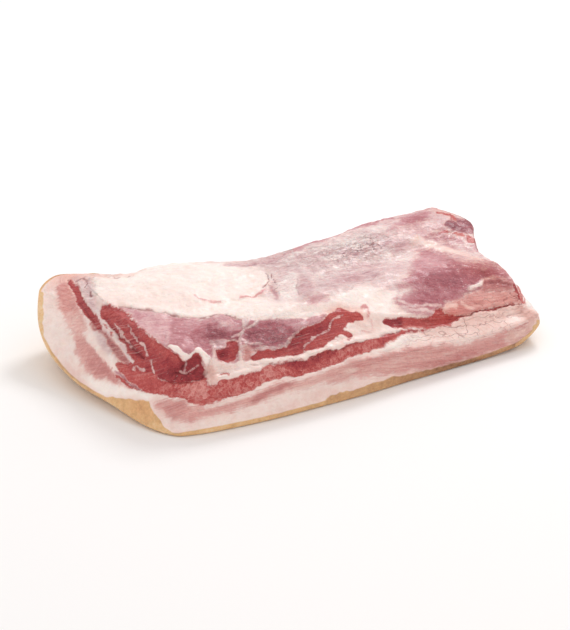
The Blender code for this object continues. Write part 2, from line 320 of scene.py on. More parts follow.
# Patches in the order in which they lie over each other: tissue, tone (paler above 0, darker below
# it), how far they stand out, half the width of their border in millimetres, and their outline.
PATCHES = (
    ("flayed top", "skin", 0.2, 0, 5, (
        (205, 262), (255, 255), (300, 240), (350, 225), (400, 208), (440, 205), (475, 220), (488, 245),
        (505, 262), (492, 266), (470, 262), (450, 257), (424, 251), (412, 258), (410, 270), (400, 280),
        (398, 295), (390, 298), (372, 287), (352, 289), (335, 294), (322, 300), (300, 303), (280, 304),
        (262, 301), (270, 290), (271, 281), (266, 272), (248, 267), (225, 264))),
    ("fat pad", "fat", 0.6, 1.6, 2, (
        (97, 300), (93, 290), (92, 282), (100, 278), (128, 279), (138, 273), (150, 268), (170, 266),
        (200, 265), (225, 266), (245, 269), (260, 270), (268, 276), (270, 283), (266, 291), (255, 295),
        (240, 299), (225, 301), (205, 303), (190, 306), (178, 310), (175, 315), (160, 313), (150, 311.5),
        (140, 310), (125, 307), (112, 307), (103, 305))),
    ("white band", "fat", 0.7, 0.9, 3, (
        (176, 314), (180, 309), (205, 304), (230, 301), (255, 299), (285, 303), (310, 304), (325, 302),
        (345, 293), (355, 288), (372, 288), (386, 291), (398, 296), (395, 303), (390, 312), (383, 318),
        (372, 318), (366, 308), (350, 307), (335, 306), (322, 312), (312, 316), (300, 318), (280, 319),
        (262, 319), (245, 318.5), (238, 318), (225, 314), (215, 315), (203, 319), (190, 317))),
    ("near muscle", "mauve", 0.1, 0.5, 1.2, (
        (118, 308), (140, 311), (150, 312.5), (170, 315.5), (185, 318), (202, 320), (214, 316), (224, 315),
        (238, 319), (250, 320), (262, 320), (280, 320), (300, 319), (315, 317), (328, 316), (318, 323),
        (305, 328), (297, 334), (290, 342), (284, 347), (270, 348.5), (256, 352), (250, 358), (246, 361),
        (238, 362), (228, 362), (219, 361), (213, 359), (210, 364), (205, 366), (192, 360), (182, 358),
        (171, 351), (164, 346), (156, 341), (148, 336), (142, 329), (134, 321), (126, 314))),
    # Its paleness is partly the membrane's own colour and partly a painted sheen.
    ("pale membrane and painted sheen of the near muscle", "mauve", 0.85, 0.3, 1.5, (
        (118, 308), (140, 311), (150, 312.5), (169, 315.5), (171, 323), (170, 331), (171, 340), (168, 346),
        (164, 345), (156, 341), (148, 336), (142, 329), (134, 321), (126, 314))),
    ("dark muscle under the thin place", "mauve", -0.8, -0.3, 2, (
        (207, 327), (215, 325), (221, 331), (229, 334), (240, 333), (241, 339), (227, 341), (214, 341),
        (208, 337))),
    ("thin place of the membrane", "mauve", 1.0, 0.5, 0.9, (
        (213, 318), (221, 316), (229, 318), (235, 323), (241, 328), (240, 331), (233, 332), (226, 330),
        (221, 325))),
    ("muscle behind the thin place", "mauve", 0.3, 0, 0.9, (
        (228, 317), (238, 319), (241, 321), (240, 326), (234, 322))),
    ("white scrap beside it", "skin", 0.4, 0.5, 0.9, (
        (241, 319.5), (247, 319.5), (248, 322), (244, 327), (241.5, 329))),
    ("pink foot of the near muscle", "skin", -0.4, 0.2, 1.2, (
        (210, 342), (218, 341), (227, 341), (226, 348), (219, 352), (215, 360), (210, 358), (214, 350))),
    ("pink muscle beside the stalk", "lean", -0.2, -0.3, 1.2, (
        (244, 345), (252, 346), (257, 350), (251, 357), (247, 361), (244, 361))),
    ("wrinkled muscle", "mauve", -0.35, -0.4, 2.5, (
        (248, 327), (262, 322), (281, 322), (292, 328), (297, 333), (291, 341), (284, 346.5), (270, 348),
        (256, 351), (248, 346), (246, 336))),
    ("upper border of the wrinkled muscle", "mauve", 0.8, 0.2, 1.5, (
        (282, 321), (300, 320), (316, 317.5), (328, 316), (318, 322), (305, 327), (296, 330), (288, 326))),
    ("rim of the curled end", "fat", -0.5, 0, 3, (
        (44, 292), (48, 284), (56, 277), (64, 272), (80, 270), (100, 271), (99, 276), (84, 277), (70, 278),
        (60, 283), (52, 290))),
    ("rind flap of the curled end", "rind", 0.5, 0, 1, (
        (30, 291), (42, 292), (43, 300), (43, 310), (43, 320), (43.5, 330), (45, 340), (49, 350), (55, 359),
        (62, 367), (71, 375.5), (80, 383), (90, 390), (99, 396), (104, 406), (90, 402), (75, 389),
        (58, 372), (48, 360), (38, 346), (31, 325))),
    ("turned rind of the near left corner", "rind", 0.3, -0.8, 1, (
        (97, 396), (110, 396), (122, 398), (134, 400), (143, 400), (148, 401), (150, 406), (154, 413),
        (159, 420), (166, 428), (175, 434), (186, 437), (174, 442), (158, 438), (140, 427), (120, 416),
        (102, 406))),
    ("pink lean of the curled end", "lean", 0.1, 0, 2, (
        (58, 285), (68, 281), (72, 291), (76, 299), (79, 308), (83, 317), (86, 327), (85, 336), (90, 343),
        (97, 350), (103, 357), (109, 364), (114, 372), (122, 382), (130, 387), (120, 386), (110, 381),
        (99, 379), (91, 374), (84, 367), (79, 358), (76, 349), (73, 339), (70, 330), (66, 321), (64, 314),
        (59, 309), (60, 304), (57, 297))),
    ("pale middle of the pink lean", "lean", 0.6, 0, 3, (
        (66, 314), (78, 312), (84, 322), (84, 334), (74, 338), (70, 330))),
    ("low end of the pink lean", "lean", -0.4, 0, 4, (
        (86, 350), (98, 354), (108, 364), (116, 374), (124, 384), (110, 380), (98, 376), (88, 366))),
    ("dark lean of the curled end", "red", -0.1, -0.7, 1, (
        (68, 279), (73, 281), (79, 287), (82, 296), (87, 304), (92, 309), (97, 317), (101, 326), (101, 331),
        (95, 327), (89, 320), (84, 314), (79, 308), (76, 300), (73, 292), (69, 285))),
    ("seam skin beside it", "skin", 0.3, 0.3, 1.5, (
        (71, 280), (79, 277), (89, 277), (92, 290), (95, 300), (99, 309), (101, 320), (107, 327), (114, 335),
        (117, 341), (110, 338), (103, 331), (98, 320), (92, 309), (86, 301), (82, 292), (77, 285))),
    ("lean between the seams", "lean", -1.1, -0.2, 1.2, (
        (90, 322), (97, 328), (103, 331), (110, 337), (117, 342), (121, 350), (128, 358), (133, 363),
        (122, 364), (116, 357), (110, 350), (106, 342), (99, 335), (93, 329))),
    ("seam of the curled end", "fat", 0.1, 0.5, 1.2, (
        (86, 334), (90, 332), (96, 336), (101, 343), (107, 350), (112, 356), (116, 363), (119, 370),
        (122, 378), (115, 373), (108, 365), (101, 357), (94, 349), (88, 342))),
    ("seam skin over it", "skin", 0.3, 0.2, 1.2, (
        (93, 331), (98, 331), (104, 338), (109, 345), (113, 352), (117, 361), (111, 356), (104, 349),
        (98, 342))),
    ("white fat under the curled end", "fat", 1.2, 0.3, 2.5, (
        (80, 376), (90, 377), (102, 382), (118, 386), (134, 389), (148, 394), (150, 399), (134, 398),
        (115, 395), (100, 394), (88, 385))),
    ("pink lean of the near side", "lean", 0.2, -0.2, 2.2, (
        (156, 402), (170, 399), (184, 400), (190, 405), (200, 406), (215, 403), (235, 399), (250, 396),
        (262, 390), (280, 383), (300, 380), (320, 374), (335, 368), (350, 361), (370, 357), (385, 354),
        (400, 350), (420, 346), (440, 344), (460, 343), (475, 340), (490, 336), (505, 331), (518, 326),
        (528, 322), (530, 330), (522, 338), (510, 346), (495, 351), (480, 355), (460, 361), (440, 366),
        (420, 370), (400, 373), (380, 375), (360, 378), (340, 382), (320, 385), (300, 390), (280, 395),
        (262, 402), (240, 409), (220, 414), (200, 419), (185, 421), (170, 419), (160, 412))),
    ("dark wedge of the pink lean", "lean", -0.9, 0, 2, (
        (249, 402), (254, 396), (264, 391), (278, 386), (296, 382), (282, 389), (268, 396), (258, 402))),
    ("swirl of the pink lean", "lean", 0.0, 0, 2.5, (
        (164, 405), (174, 401), (184, 404), (187, 410), (180, 414), (170, 413))),
    ("red scrap above the pink lean", "red", 0.5, 0, 1.5, (
        (186, 400), (192, 398), (201, 400), (197, 404), (190, 404))),
    ("dark stretch of the pink lean", "lean", -0.4, 0, 3, (
        (352, 364), (375, 359), (400, 353), (425, 349), (450, 347), (440, 352), (410, 357), (380, 364),
        (360, 369))),
    ("pink end of the near side", "fat", -1.0, 0, 3, (
        (505, 332), (520, 326), (530, 320), (541, 319), (537, 328), (524, 338), (514, 345), (508, 340))),
    ("middle lean", "red", 0.5, -0.7, 1.2, (
        (114, 368), (118, 362), (128, 366), (135, 371), (150, 372), (158, 380), (170, 382), (195, 381),
        (205, 377), (208, 380), (213, 383), (222, 381), (232, 378), (243, 375), (255, 372), (262, 369),
        (265, 365), (280, 362), (295, 360.5), (306, 359.5), (312, 356), (325, 351), (340, 348), (350, 344),
        (362, 341), (375, 338), (388, 334), (400, 331), (415, 329.5), (427, 329), (418, 332.5), (405, 336),
        (395, 341), (385, 348), (375, 350.5), (362, 354), (350, 358), (335, 364), (320, 369), (305, 374),
        (290, 377), (275, 380), (262, 385), (252, 390), (240, 395), (225, 399), (210, 402), (200, 404.5),
        (190, 403), (184, 399), (165, 396), (150, 393.5), (138, 390), (128, 387), (120, 382))),
    ("salmon place of the middle lean", "red", 1.1, 0, 3, (
        (182, 385), (195, 382), (206, 379), (211, 386), (209, 396), (200, 401), (188, 398), (182, 393))),
    ("salmon place under the fold", "red", 0.8, 0, 3, (
        (258, 375), (264, 367), (272, 366), (285, 368), (296, 366), (290, 374), (275, 378), (262, 382))),
    ("dark upper side of the middle lean", "red", -0.5, 0, 2.5, (
        (280, 363), (296, 360.5), (308, 359), (318, 354), (335, 351), (330, 358), (312, 364), (296, 368))),
    ("red end of the middle lean", "red", 0.0, 0, 3, (
        (380, 338), (395, 333), (412, 330), (427, 329), (415, 333), (400, 338), (388, 344), (380, 344))),
    ("left cut of the near muscle", "red", -0.1, -0.8, 1, (
        (100, 308), (104, 306.5), (113, 307.5), (119, 309), (125, 313), (131, 318), (137, 323), (142, 328),
        (147, 334), (150, 337), (158, 342), (166, 346), (171, 351), (177, 355), (181, 359), (184, 362),
        (187, 358), (192, 355), (198, 354), (201, 357), (202, 362), (205, 368), (207, 373), (205, 377),
        (195, 381), (180, 383), (168, 382), (158, 380), (150, 373), (135, 371), (126, 366), (132, 360),
        (127, 351), (121, 341), (112, 334), (104, 326), (101, 319), (99, 313))),
    ("bright rim of the left cut", "red", 0.35, 0.4, 2, (
        (100, 308), (113, 307.5), (125, 313), (137, 323), (147, 334), (158, 342), (171, 351), (182, 361),
        (174, 362), (160, 352), (147, 343), (138, 334), (130, 329), (122, 321), (114, 317), (104, 315))),
    ("strands of the left cut", "red", 0.1, 0.2, 1.5, (
        (106, 319), (113, 320), (122, 326), (131, 333), (138, 343), (146, 354), (150, 365), (142, 369),
        (134, 364), (127, 352), (118, 341), (110, 333))),
    # The two hollows are drawn darker: painted shade in them, over their real dip.
    ("deep hollow of the left cut", "red", -0.4, -0.9, 1, (
        (128, 341), (135, 346), (142, 353), (143, 358), (136, 356), (130, 349))),
    ("upper hollow of the left cut", "red", -0.3, -0.7, 1, (
        (103, 316), (110, 322), (116, 329), (119, 336), (112, 332), (105, 325))),
    ("deep red of the left cut", "red", -0.45, -0.2, 2.5, (
        (185, 363), (192, 357), (199, 357), (203, 364), (206, 372), (204, 377), (190, 381), (176, 382),
        (163, 379), (158, 374), (172, 368))),
    ("white tag", "fat", 0.7, 1.6, 0.6, (
        (169, 346.5), (174, 347), (178, 348.5), (183, 352), (187, 354.5), (190, 354.5), (194, 351),
        (198, 350), (203, 352), (207, 355.5), (209.8, 359), (209.3, 364), (206.5, 367.5), (204.5, 364),
        (202, 359), (198, 355), (195, 354), (192, 356.5), (189, 360), (186, 362), (184, 360.5),
        (180, 356), (174, 350.5))),
    ("round cut of the near muscle", "red", -0.1, -0.8, 1.2, (
        (215.5, 352), (219, 349.5), (224, 348), (227, 344), (231, 341), (236, 341.5), (239, 345),
        (239, 351), (236.5, 358), (231, 361.5), (222, 361), (217, 357))),
    ("deep side of the round cut", "red", -0.6, -0.3, 2.5, (
        (217, 352), (222, 350), (227, 347), (229, 351), (226, 357), (220, 357))),
    ("right cut of the near muscle", "red", 0.1, -0.4, 1, (
        (250, 357), (256, 352.5), (265, 350), (275, 349), (285, 347), (292, 340), (297, 335), (303, 329),
        (312, 325), (320, 322), (327, 317), (333, 311), (340, 308.5), (350, 310), (360, 313), (365, 317),
        (362, 320), (355, 320), (350, 323), (345, 327), (344, 331), (350, 332), (352, 336), (348, 340),
        (340, 340), (332, 342), (325, 346), (315, 349), (305, 353), (295, 356), (280, 357.5), (262, 359),
        (252, 359.5))),
    ("dark upper side of the right cut", "red", -0.3, -0.3, 2, (
        (288, 345), (294, 337), (302, 330), (312, 326), (324, 322), (331, 320), (328, 327), (318, 332),
        (308, 339), (303, 347), (292, 349))),
    ("low side of the right cut", "red", 0.3, 0.2, 2, (
        (305, 350), (312, 342), (322, 337), (334, 332), (344, 331), (350, 334), (340, 339), (328, 344),
        (315, 348))),
    ("bright end of the right cut", "red", 0.25, 0.3, 2, (
        (328, 318), (334, 311), (342, 309), (352, 311), (362, 315), (360, 319), (350, 320), (340, 320),
        (332, 324))),
    ("fat tongue of the near side", "fat", 0.1, 1.3, 1.5, (
        (211, 357), (216, 359), (222, 361), (232, 362), (243, 362.5), (250, 363), (262, 362), (280, 361),
        (295, 359.5), (303, 359.5), (280, 362.5), (262, 366), (262, 368), (256, 372), (243, 374),
        (232, 377), (225, 379), (219, 381), (215, 384), (212, 380), (209, 375), (208, 368), (209, 362))),
    ("pink root of the fat tongue", "fat", -0.9, 0, 2.5, (
        (206, 366), (212, 366), (218, 374), (216, 384), (211, 385), (207, 378))),
    ("ledge of the near side", "fat", -0.35, 0, 3, (
        (398, 343), (408, 334), (425, 331), (445, 327), (460, 321), (475, 314), (500, 307), (525, 304),
        (536, 312), (541, 320), (528, 322), (505, 331), (480, 338), (455, 342), (430, 344))),
    ("pink end of the ledge", "fat", -1.0, 0, 3, (
        (512, 300), (526, 303), (536, 312), (543, 320), (530, 321), (520, 314))),
    ("white fat beside the ledge", "fat", 0.7, 0.3, 2, (
        (375, 352), (385, 346), (398, 337), (412, 334), (424, 336), (410, 342), (395, 348), (382, 352))),
    ("right muscle", "mauve", -0.1, 0.8, 5, (
        (395, 300), (400, 297), (410, 290), (400, 290), (398, 284), (408, 277), (412, 268), (418, 258),
        (416, 252), (424, 250), (435, 251), (450, 255), (465, 260), (480, 263), (498, 265), (507, 272),
        (516, 282), (521, 288), (524, 298), (515, 293), (505, 291), (490, 292), (478, 293), (470, 295),
        (463, 299), (455, 304), (445, 307), (437, 310), (432, 315), (420, 315), (410, 311), (400, 306))),
    ("grey left of the right muscle", "mauve", 0.6, 0, 3, (
        (412, 260), (424, 256), (440, 260), (450, 265), (436, 271), (414, 272))),
    ("brown fleck of the right muscle", "mauve", -0.3, 0, 2, (
        (418, 253), (424, 250), (434, 252), (432, 256), (422, 256))),
    ("red top of the right muscle", "mauve", -0.1, 0, 4, (
        (452, 262), (470, 264), (488, 266), (500, 269), (508, 277), (496, 281), (478, 280), (460, 279),
        (446, 272))),
    ("lilac foot of the right muscle", "mauve", 0.4, 0.3, 3, (
        (392, 300), (402, 298), (414, 302), (430, 304), (446, 302), (456, 301), (446, 306), (437, 310),
        (432, 315), (420, 315), (408, 311), (398, 306))),
    ("pink lean of the right tip", "lean", 0.2, 0.3, 1.2, (
        (463, 296), (470, 294), (480, 292), (495, 291), (508, 292), (516, 292), (523, 296), (526, 303),
        (510, 304), (498, 306), (485, 309), (476, 306), (466, 301))),
    ("orange foot of the right muscle", "lean", 0.0, 0, 1.2, (
        (438, 311), (446, 305), (455, 301), (464, 298), (474, 304), (485, 308), (470, 314), (458, 316),
        (448, 314))),
    ("red strip under the right muscle", "red", 0.5, -1.3, 1.2, (
        (383, 322), (387, 318.5), (395, 317.5), (405, 316.5), (415, 317), (425, 318), (432, 316),
        (436, 310), (440, 308), (446, 313), (452, 315), (460, 316.5), (470, 314), (485, 309), (498, 305.5),
        (510, 304), (525, 303), (510, 305.5), (495, 308.5), (480, 312.5), (468, 316.5), (458, 321),
        (448, 325), (435, 326), (420, 327), (405, 328), (395, 327), (386, 325))),
    ("dark start of the red strip", "red", -0.7, 0, 2, (
        (384, 322), (390, 318), (402, 318), (402, 325), (390, 326))),
    ("pink low side of the red strip", "red", 0.9, 0, 1.5, (
        (400, 327), (415, 325), (430, 325), (445, 323), (456, 321), (448, 326), (430, 328), (410, 329))),
    ("scored cut of the right muscle", "lean", -1.0, 0, 2, (
        (482, 281), (492, 278), (502, 279), (512, 283), (519, 288), (523, 296), (527, 303), (519, 299),
        (513, 291), (500, 290), (488, 291), (480, 291))),
    ("muscle at the far right", "mauve", 0.5, 0.6, 5, (
        (386, 232), (395, 222), (405, 213), (420, 210), (430, 212), (428, 219), (418, 225), (402, 230))),
    ("streaked muscle above the tendon", "mauve", 0.9, 0.2, 5, (
        (428, 236), (434, 231), (448, 230), (462, 233), (474, 240), (484, 250), (490, 259), (474, 253),
        (452, 246), (436, 242))),
    ("cut at the far right", "mauve", -0.7, -0.4, 1.2, (
        (445, 222), (454, 217), (465, 219), (473, 222), (473, 235), (464, 234), (456, 231), (448, 228))),
    ("red right rim", "red", 0.6, 0, 2, (
        (466, 234), (473, 238), (479, 248), (473, 245), (468, 241))),
    ("rind of the near side's right half", "rind", 0.0, 0, 1, (
        (330, 396), (350, 390), (375, 382.5), (400, 375.5), (430, 369.5), (455, 363), (480, 356.5),
        (505, 350), (515, 347.5), (520, 352), (480, 368), (430, 380), (380, 392), (330, 402))),
    ("turned rind of the right tip", "rind", 0.4, 0, 1, (
        (514, 346), (521, 340), (531, 331), (539, 320), (544, 320), (542, 330), (531, 342), (518, 350))),
    ("tendon of the right muscle", "fat", -0.2, 0.9, 2, (
        (409, 240), (418, 237), (428, 240), (440, 245), (455, 249), (470, 255), (486, 261), (496, 265),
        (480, 262), (462, 258), (448, 255), (434, 251), (420, 247))),
    # A painted shadow: the fold is drawn as darker skin.
    ("shadow painted in the skin fold beside the fat pad", "skin", -0.8, -0.5, 1, (
        (269, 285), (274, 288), (278, 294), (277, 299), (272, 293))),
    ("lilac skin of the middle", "skin", -0.2, 0.3, 1.2, (
        (297, 283), (302, 276), (310, 280), (314, 288), (308, 296), (300, 294))),
    ("white skin of the middle", "skin", 0.9, 0.3, 2.5, (
        (277, 284), (286, 275), (297, 273), (297, 287), (296, 297), (284, 300), (279, 293))),
    ("notch in the white band", "mauve", 1.1, -0.8, 3, (
        (306, 300), (312, 296), (320, 293), (328, 298), (320, 302), (312, 303))),
    ("fat scrap on the right muscle", "fat", 0.6, 1.3, 0.6, (
        (466, 289.5), (474, 285), (484, 280.5), (482, 284), (477, 287.5), (471, 290.5))),
)

# Strokes: what they are, tone or strength, half their width in pixels, how far they stand out, and
# their points. A stroke is a tissue, or a change that tone, warm and the others name below.
STROKES = (
    ("skin of the muscle at the curled end", "skin", 0.6, 1.2, 0.3, (
        (103, 322), (110, 330), (117, 338), (123, 346), (128, 354), (132, 361))),
    ("white of the seam", "fat", 0.6, 2.2, 0.4, ((111, 354), (113, 361), (116, 368), (118, 373))),
    ("white under the left cut's strands", "fat", 0.3, 2.2, 0.3, ((115, 339), (118, 343), (121, 345))),
    ("pale strand of the left cut", "skin", 0.3, 1.6, 0.4, ((122, 345), (125, 351), (129, 357), (132, 361))),
    ("white at its foot", "skin", -0.2, 0.9, 0.3, ((134, 367), (139, 368), (144, 370))),
    ("streak in the left cut", "skin", -0.2, 0.8, 0.3, ((141, 342), (144, 348), (146, 355))),
    ("lower streak in the left cut", "skin", -0.2, 0.8, 0.3, ((149, 361), (151, 367), (153, 373))),
    ("streak across the left cut", "skin", -0.6, 0.7, 0.2, ((121, 332), (126, 340), (131, 348))),
    ("fork in the left cut", "skin", -0.6, 0.7, 0.2, ((114, 323), (119, 330), (122, 337))),
    ("upper streak in the left cut", "skin", -0.8, 0.7, 0.2, ((128, 325), (132, 333), (137, 341))),
    ("seam above the middle lean", "fat", 0.2, 1.4, 0.5, (
        (251, 362), (262, 361), (280, 359.5), (295, 358.5), (308, 356), (318, 351.5), (330, 348), (342, 344.5),
        (352, 341), (362, 337.5), (372, 334.5), (388, 331), (402, 328))),
    ("line on the fold of the left cut", "skin", -0.4, 0.8, 0.2, ((179, 371.5), (185, 372.5), (191, 370), (198, 365))),
    ("line under the white tag", "skin", -0.6, 0.8, 0.2, ((187, 362), (185.5, 367), (183, 371))),
    ("stalk beside the round cut", "skin", 0.3, 1.1, 0.6, ((242.5, 333), (241, 342), (241, 350), (240, 357))),
    ("foot of the stalk", "fat", -0.3, 1.9, 0.4, ((240.5, 352), (240.5, 358), (241, 363))),
    ("strand over the membrane", "skin", 0.7, 0.9, 0.8, ((231, 338), (239, 336), (246, 330), (258, 321))),
    ("second strand over the membrane", "skin", 0.2, 0.9, 0.4, ((243, 341), (251, 343), (262, 344))),
    ("white border of the pink foot", "fat", -0.2, 1.1, 0.4, ((214, 346), (213, 352), (213, 358))),
    ("white border over the right cut", "skin", -0.2, 0.8, 0.3, (
        (251, 354), (257, 350), (265, 347.5), (276, 346.5), (285, 344), (291, 338), (297, 333))),
    ("seam in the right cut", "skin", -0.6, 0.8, 0.4, (
        (304, 350), (308, 343), (314, 338), (322, 333), (328, 330), (331, 323), (337, 317), (343, 314))),
    ("fat curl under the right cut", "fat", 0.2, 1.8, 0.5, ((328, 346), (334, 342), (338, 338), (343, 337))),
    ("end of the fat curl", "fat", 0.0, 1.4, 0.4, ((338, 345), (343, 342), (346, 338))),
    ("fat between the right cut's lobes", "fat", 0.3, 1.8, 0.3, ((352, 323), (347, 327), (346, 330), (352, 331))),
    ("streak by the dark wedge", "fat", -0.2, 1.8, 0.2, ((205, 406), (225, 402), (240, 399), (250, 396))),
    ("far rim", "mauve", 0.5, 2.0, 0, (
        (288, 251), (310, 243), (330, 236), (345, 231), (360, 226), (375, 222), (392, 217))),
    ("red rim of the far corner", "red", 0.8, 1.1, 0, ((436, 211), (448, 215), (456, 219))),
    # The folds below are drawn darker: painted shade in them.
    ("fold behind the far side", "skin", -0.6, 2.4, -0.8, (
        (296, 258), (310, 256), (325, 254), (338, 251), (350, 252), (362, 253))),
    ("fold along the far side", "skin", -0.4, 2.4, -0.9, (
        (225, 265), (245, 265), (262, 262), (275, 258), (290, 251))),
    ("folds of the far middle", "skin", -0.2, 1.5, -0.3, ((360, 250), (372, 247), (385, 243), (398, 240))),
    ("streak above the tendon", "skin", 0.5, 1.4, 0.2, ((430, 237), (446, 236), (460, 239), (472, 245))),
    ("second streak above the tendon", "skin", 0.3, 1.2, 0.2, ((440, 242), (456, 243), (470, 249), (480, 255))),
    ("brown streak above the tendon", "red", 0.9, 1.2, 0, ((440, 232), (452, 233), (464, 237))),
    # A band of mauve drawn as painted shade under the curled end's seam.
    ("painted brown shade under the curled end", "mauve", 0.3, 1.3, -0.4, ((117, 372), (124, 379), (132, 385), (140, 389))),
    ("pale arc of the right muscle", "skin", 0.2, 1.1, 0.2, ((398, 302), (410, 306), (424, 307), (440, 305))),
    ("second arc of the right muscle", "skin", 0.2, 1.1, 0.2, ((404, 309), (418, 311), (431, 313))),
    ("pale fleck of the orange foot", "fat", -0.2, 2.4, 0.3, ((445, 308), (450, 306), (456, 306))),
    ("second fleck of the orange foot", "fat", -0.4, 1.6, 0.2, ((462, 303), (468, 306), (474, 309))),
    ("upper ridge of the scored cut", "lean", -0.9, 1.0, 0.5, ((484, 283), (494, 280), (506, 282), (515, 287))),
    ("middle ridge of the scored cut", "lean", -0.9, 1.0, 0.5, ((483, 287), (495, 285), (506, 286), (516, 290))),
    ("lower ridge of the scored cut", "lean", -1.0, 1.0, 0.5, ((482, 290), (495, 289), (508, 289.5))),
    ("red flank of the right tip", "red", 0.0, 2.0, 0, ((514, 288), (519, 294), (523, 301))),
    ("pink streak of the fat tongue", "red", 1.0, 1.2, -0.3, ((219, 377), (224, 374), (229, 373.5))),
    # Crease strokes are painted shade: dark lines in folds, hollows and scores, under the white tag and along the fat
    # pad's edge; a few mark dark spots of the tissue.
    ("edge of the fat pad", "crease_shade", 0.65, 0.9, -0.9, (
        (118, 307.5), (140, 310), (155, 312), (170, 314.5), (185, 317), (201, 319), (213, 316), (222, 314.5),
        (232, 317), (241, 320))),
    ("fold over the middle lean", "crease_shade", 0.45, 0.9, -1.2, (
        (250, 366), (265, 364), (280, 362.5), (295, 361), (306, 360.5))),
    ("fold over the middle lean, right", "crease_shade", 0.55, 0.9, -0.8, (
        (311, 357), (330, 351), (345, 347.5), (352, 344), (372, 338), (400, 331))),
    ("fold under the left cut", "crease_shade", 0.5, 0.9, -1.0, (
        (158, 378), (166, 381.5), (178, 383), (191, 382), (201, 378), (207, 373))),
    ("small fold in the left cut", "crease_shade", 0.5, 1.0, -0.7, ((171, 371), (179, 373.5), (190, 374), (198, 370))),
    ("foot of the curled end's seam", "crease_shade", 0.45, 1.1, -0.7, ((119, 375), (125, 381), (133, 386.5), (142, 390))),
    ("hollow in the left cut", "crease_shade", 0.5, 1.2, -0.8, ((111, 329), (118, 336), (126, 342), (134, 350), (142, 358))),
    ("shadow under the white tag", "crease_shade", 0.5, 1.1, -0.4, ((174, 354), (184, 363.5), (192, 358.5), (199, 358), (203, 364))),
    ("crack of the ledge", "crease_shade", 0.6, 0.9, -0.6, ((455, 329), (458, 334), (463, 337), (470, 337), (479, 335), (488, 336))),
    ("end of the fat pad", "crease_shade", 0.7, 1.1, -1.2, ((263, 289), (266, 285), (269, 279), (266, 273))),
    ("upper fold beside the fat pad", "crease_shade", 0.7, 0.9, -0.6, ((272, 274), (274, 280), (278, 286))),
    ("upper fold behind the far side", "crease_shade", 0.4, 1.0, -0.6, (
        (305, 250), (320, 247), (335, 245), (350, 247), (366, 249))),
    ("short fold", "crease_shade", 0.5, 0.9, -0.5, ((331, 255), (335, 259), (339, 262))),
    ("second short fold", "crease_shade", 0.5, 0.9, -0.5, ((340, 257), (344, 262), (349, 269))),
    ("fold in the seam skin", "crease_shade", 0.5, 0.9, -0.5, ((371, 236), (372, 246), (379, 251))),
    ("branch of that fold", "crease_shade", 0.4, 0.9, -0.3, ((366, 251), (372, 248), (378, 244))),
    ("fold over the muscle", "crease_shade", 0.4, 1.0, -0.5, ((345, 290), (355, 286), (367, 281), (375, 277))),
    ("fold at the white skin", "crease_shade", 0.5, 1.0, -0.5, ((297, 280), (297, 288), (299, 294))),
    ("fold in the white band", "crease_shade", 0.3, 0.9, -0.4, ((283, 314), (292, 316), (301, 312), (311, 310))),
    ("foot of the right muscle", "crease_shade", 0.45, 0.9, -0.8, ((458, 318), (470, 314.5), (485, 309.5), (500, 305.5), (520, 303.5))),
    ("score of the right muscle", "crease_shade", 0.4, 0.8, -0.5, ((484, 285), (495, 283), (506, 284), (515, 288))),
    ("lower score of the right muscle", "crease_shade", 0.35, 0.8, -0.5, ((464, 295), (476, 292), (490, 291.5), (505, 291))),
    ("upper score of the right muscle", "crease_shade", 0.35, 0.8, -0.4, ((487, 281), (498, 279), (509, 281))),
    ("score in the right muscle's top", "crease_shade", 0.3, 0.8, -0.4, ((484, 276), (496, 275), (508, 278))),
    ("crack of the right tip", "crease_shade", 0.5, 0.9, -0.4, ((468, 297), (474, 303), (482, 306))),
    ("second crack of the right tip", "crease_shade", 0.4, 0.9, -0.4, ((490, 294), (497, 301), (500, 305))),
    ("third crack of the right tip", "crease_shade", 0.6, 0.9, -0.4, ((510, 293), (514, 297), (520, 299))),
    ("fold round the left end", "crease_shade", 0.6, 0.9, -0.5, ((75, 281), (84, 279), (86, 284), (84, 287))),
    ("spot in the seam skin", "crease_shade", 0.7, 1.6, -0.3, ((90, 292), (91, 298))),
    ("dark core of the curled end's lean", "crease_shade", 0.45, 1.4, -0.4, ((79, 303), (86, 312), (93, 322))),
    ("far rim of the fat pad", "crease_shade", 0.5, 0.8, -0.4, ((100, 276), (114, 278), (126, 279), (133, 276))),
    ("notch under the rind", "crease_shade", 1.0, 1.2, -0.3, ((49, 354), (56, 360))),
    ("vein of the fat pad", "vein", 0.9, 1.2, 0.2, ((195, 297), (202, 301), (209, 303), (222, 302))),
    ("thin end of the vein", "vein", 0.35, 0.9, 0.1, ((187, 293), (195, 297))),
    ("vein at the fat pad's edge", "vein", 1.0, 0.9, 0.2, ((240, 298.5), (252, 297), (262, 292.5), (266, 290))),
    ("branch of the vein", "vein", 0.4, 0.8, 0.1, ((202, 301), (195, 305), (184, 307), (174, 309))),
    ("stain on the fat pad", "vein", 0.35, 2.0, 0.0, ((94, 287), (99, 288.5), (107, 288))),
    ("vessel beside the right cut", "vein", 1.0, 1.6, 0.6, ((362, 309), (365, 306), (368, 312), (368, 316))),
    ("lower vessel beside the right cut", "vein", 0.7, 1.6, 0.5, ((362, 330), (369, 331), (373, 327), (371, 320))),
)
